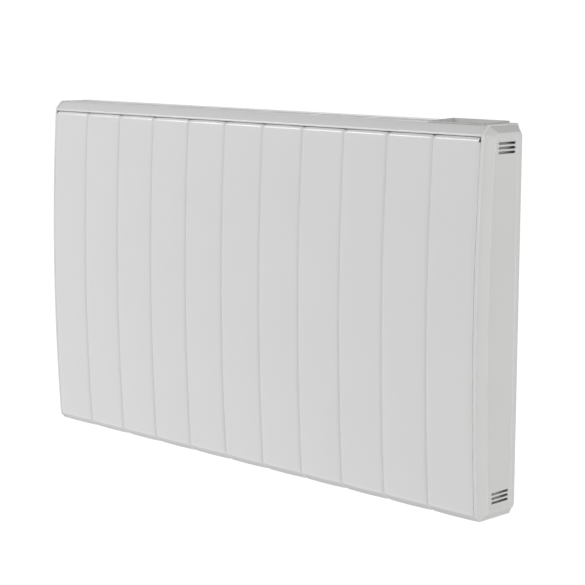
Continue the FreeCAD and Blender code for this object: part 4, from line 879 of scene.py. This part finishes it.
def cap_shell():
    """The right-hand cap as one closed skin, ring by ring: sunk field, face, border, lip, mouth and inside.

    The mould's draft keeps neighbouring rings out of one plane, where bridging could turn one round.
    """
    shape = bmesh.new()
    face_x = case_high.x
    lip_in = panel_high.x - EDGE_SET_BACK + CAP_GAP
    lip_out = lip_in + CAP_LIP
    ends = FIELD_ENDS - FIELD_FRONT
    back = FIELD_BACK - FIELD_FRONT - FACE_BACK
    inside = CAP_WALL / 2
    rings = {
        "floor": cap_ring(shape, face_x - FIELD_DEPTH, CAP_INSET + FIELD_FRONT + FIELD_DEPTH, FIELD_CUT,
                          ends, FOOT_BORDER + ends, back),
        "field": cap_ring(shape, face_x - CAP_DRAFT, CAP_INSET + FIELD_FRONT, FIELD_CUT,
                          ends, FOOT_BORDER + ends, back),
        "face": cap_ring(shape, face_x, CAP_INSET, CORNER_CUT, 0, FOOT_BORDER, -FACE_BACK),
        "step": cap_ring(shape, lip_out + CAP_DRAFT, CAP_STEP, CORNER_CUT),
        "lip": cap_ring(shape, lip_out, 0, CORNER_CUT),
        "mouth": cap_ring(shape, lip_in, 0, CORNER_CUT),
        "inner_mouth": cap_ring(shape, lip_in + CAP_DRAFT, CAP_WALL, CORNER_CUT),
        "inner_lip": cap_ring(shape, lip_out - inside, CAP_WALL, CORNER_CUT),
        "inner_face": cap_ring(shape, face_x - CAP_WALL, CAP_INSET + inside, CORNER_CUT,
                               0, FOOT_BORDER, -FACE_BACK),
    }
    order = list(rings.values())
    for pair in zip(order, order[1:]):
        bmesh.ops.bridge_loops(shape, edges=pair[0] + pair[1])
    for ring in (order[0], order[-1]):
        bmesh.ops.contextual_create(shape, geom=ring)
    bmesh.ops.recalc_face_normals(shape, faces=shape.faces)
    return shape, rings


def creases_between(shape, first, second):
    """The creases that run from one ring of edges to another."""
    starts = {corner for edge in first for corner in edge.verts}
    ends = {corner for edge in second for corner in edge.verts}
    return [edge for edge in shape.edges if edge.calc_face_angle() > CREASE / 2
            and starts.intersection(edge.verts) and ends.intersection(edge.verts)]


def mould_cap():
    """The shell with eased edges, pierced by its vents."""
    shape, rings = cap_shell()
    border = rings["face"] + creases_between(shape, rings["step"], rings["face"])
    lip = rings["lip"] + creases_between(shape, rings["mouth"], rings["lip"])
    bevelled(shape, border, FACET_ROUND, 4)
    bevelled(shape, lip, LIP_ROUND, 3)
    bevelled(shape, rings["field"] + rings["floor"], FIELD_ROUND)
    vents = bmesh.new()
    vent_y = case_high.y - VENT_BACK - VENT_LENGTH / 2
    for number in range(VENTS):
        step = VENT_PITCH * number
        for z in (case_high.z - VENT_TOP - step, case_low.z + VENT_FOOT + step):
            slot_block(vents, Vector((case_high.x, vent_y, z)), Vector((0, VENT_LENGTH / 2, 0)),
                       Vector((0, 0, VENT_HEIGHT / 2)), ACROSS * CAP_WALL * 2)
    return carve(shape, vents)


cap_mould = moulded("cap_mould", MOULD_WHITE, MOULD_SHADE, roughness=0.40)
add_piece(mould_cap(), "cap_right", "heater_case", "cap_plastic", cap_mould, "end_cap_right")
left_cap = mould_cap()
bmesh.ops.scale(left_cap, verts=left_cap.verts, vec=(-1, 1, 1))
bmesh.ops.reverse_faces(left_cap, faces=left_cap.faces)
add_piece(left_cap, "cap_left", "heater_case", "cap_plastic", cap_mould, "end_cap_left")
dress(plated, "cap_screws_left", "cap_screws_right")

# Floor, light and camera
# A plain white floor below the hung radiator, soft light from the room's side, and the camera at the
# photograph's place.
FLOOR_DROP = 0.18
FLOOR_HALF = 400.0
CAMERA_PLACE = Vector((1.9475, -1.9562, 0.4140))
CAMERA_AZIMUTH = math.radians(44.727)
CAMERA_DROP = math.radians(8.775)
CAMERA_ROLL = math.radians(0.183)
FOCAL_LENGTH = 109.53
SENSOR = 36.0
VIEW_REACH = 2000.0
BACKDROP_GLOW = 1.05
# Each soft lamp far off: azimuth from the front towards the right, height above level, strength
LAMPS = (
    (-60, -35, 0.73),
    (-38, -35, 0.48),
    (63, -35, 0.42),
    (92, -35, 0.40),
    (0, -70, 1.00),
    (-90, -15, 0.69),
    (62, -15, 0.45),
    (62, 10, 1.40),
    (180, -20, 0.90),
    (-150, 8, 0.85),
    (-120, 8, 0.20),
    (-90, 35, 0.30),
    (-38, 35, 0.60),
    (92, 35, 1.16),
)
LAMP_SPREAD = 7.0
BOX_PLACE = Vector((-3.0, -3.1, 2.3))
BOX_TARGET = Vector((0, -0.1, 0.25))
BOX_WIDTH = 2.3
BOX_HEIGHT = 1.6
BOX_POWER = 82.0

scene = bpy.context.scene
floor_shape = bmesh.new()
bmesh.ops.create_grid(floor_shape, x_segments=1, y_segments=1, size=FLOOR_HALF)
bmesh.ops.translate(floor_shape, verts=floor_shape.verts, vec=(0, 0, case_low.z - FLOOR_DROP))
floor_mesh = bpy.data.meshes.new("floor")
floor_shape.to_mesh(floor_mesh)
floor_shape.free()
floor = bpy.data.objects.new("floor", floor_mesh)
scene.collection.objects.link(floor)
floor_paint = bpy.data.materials.new("floor_paint")
floor_paint.use_nodes = True
floor_shader = floor_paint.node_tree.nodes["Principled BSDF"]
floor_shader.inputs["Base Color"].default_value = (0, 0, 0, 1)
floor_shader.inputs["Specular IOR Level"].default_value = 0.0
floor_shader.inputs["Emission Color"].default_value = (1, 1, 1, 1)
floor_shader.inputs["Emission Strength"].default_value = BACKDROP_GLOW
floor_mesh.materials.append(floor_paint)
floor.visible_diffuse = False
floor.visible_glossy = False
floor.visible_shadow = False

world = bpy.data.worlds.new("studio")
scene.world = world
world.use_nodes = True
sky = world.node_tree
sky_shader = sky.nodes["Background"]
way = Wire(sky, sky.nodes.new("ShaderNodeTexCoord").outputs["Generated"])
light = way.node("ShaderNodeValue", {}, {})
for azimuth, height, glow in LAMPS:
    lamp_way = Quaternion((0, 0, 1), math.radians(azimuth)) @ Quaternion((1, 0, 0), math.radians(-height))
    aim = lamp_way @ Vector((0, -1, 0))
    facing = way.node("ShaderNodeVectorMath", {"operation": "DOT_PRODUCT"}, {0: way, 1: aim}, 1)
    light = light + glow * facing.math("POWER", facing.math("MAXIMUM", facing, 0.0), LAMP_SPREAD)
seen = Wire(sky, sky.nodes.new("ShaderNodeLightPath").outputs["Is Camera Ray"])
strength = light.node("ShaderNodeMix", {"data_type": "FLOAT"},
                      {MIX_SHARE: seen, MIX_FIRST_NUMBER: light, MIX_SECOND_NUMBER: BACKDROP_GLOW})
sky.links.new(strength.socket, sky_shader.inputs["Strength"])
sky_shader.inputs["Color"].default_value = (1, 1, 1, 1)

box_light = bpy.data.lights.new("softbox", "AREA")
box_light.shape = "RECTANGLE"
box_light.size = BOX_WIDTH
box_light.size_y = BOX_HEIGHT
box_light.energy = BOX_POWER
softbox = bpy.data.objects.new("softbox", box_light)
softbox.rotation_mode = "QUATERNION"
softbox.rotation_quaternion = (BOX_TARGET - BOX_PLACE).to_track_quat("-Z", "Y")
softbox.location = BOX_PLACE
scene.collection.objects.link(softbox)

lens = bpy.data.cameras.new("camera")
lens.lens = FOCAL_LENGTH
lens.sensor_width = SENSOR
lens.sensor_fit = "HORIZONTAL"
lens.clip_end = VIEW_REACH
camera = bpy.data.objects.new("camera", lens)
scene.collection.objects.link(camera)
ahead = Vector((-math.sin(CAMERA_AZIMUTH) * math.cos(CAMERA_DROP),
                math.cos(CAMERA_AZIMUTH) * math.cos(CAMERA_DROP), -math.sin(CAMERA_DROP)))
camera.rotation_mode = "QUATERNION"
camera.rotation_quaternion = ahead.to_track_quat("-Z", "Y") @ Quaternion((0, 0, 1), CAMERA_ROLL)
camera.location = CAMERA_PLACE
scene.camera = camera
scene.view_settings.view_transform = "Standard"
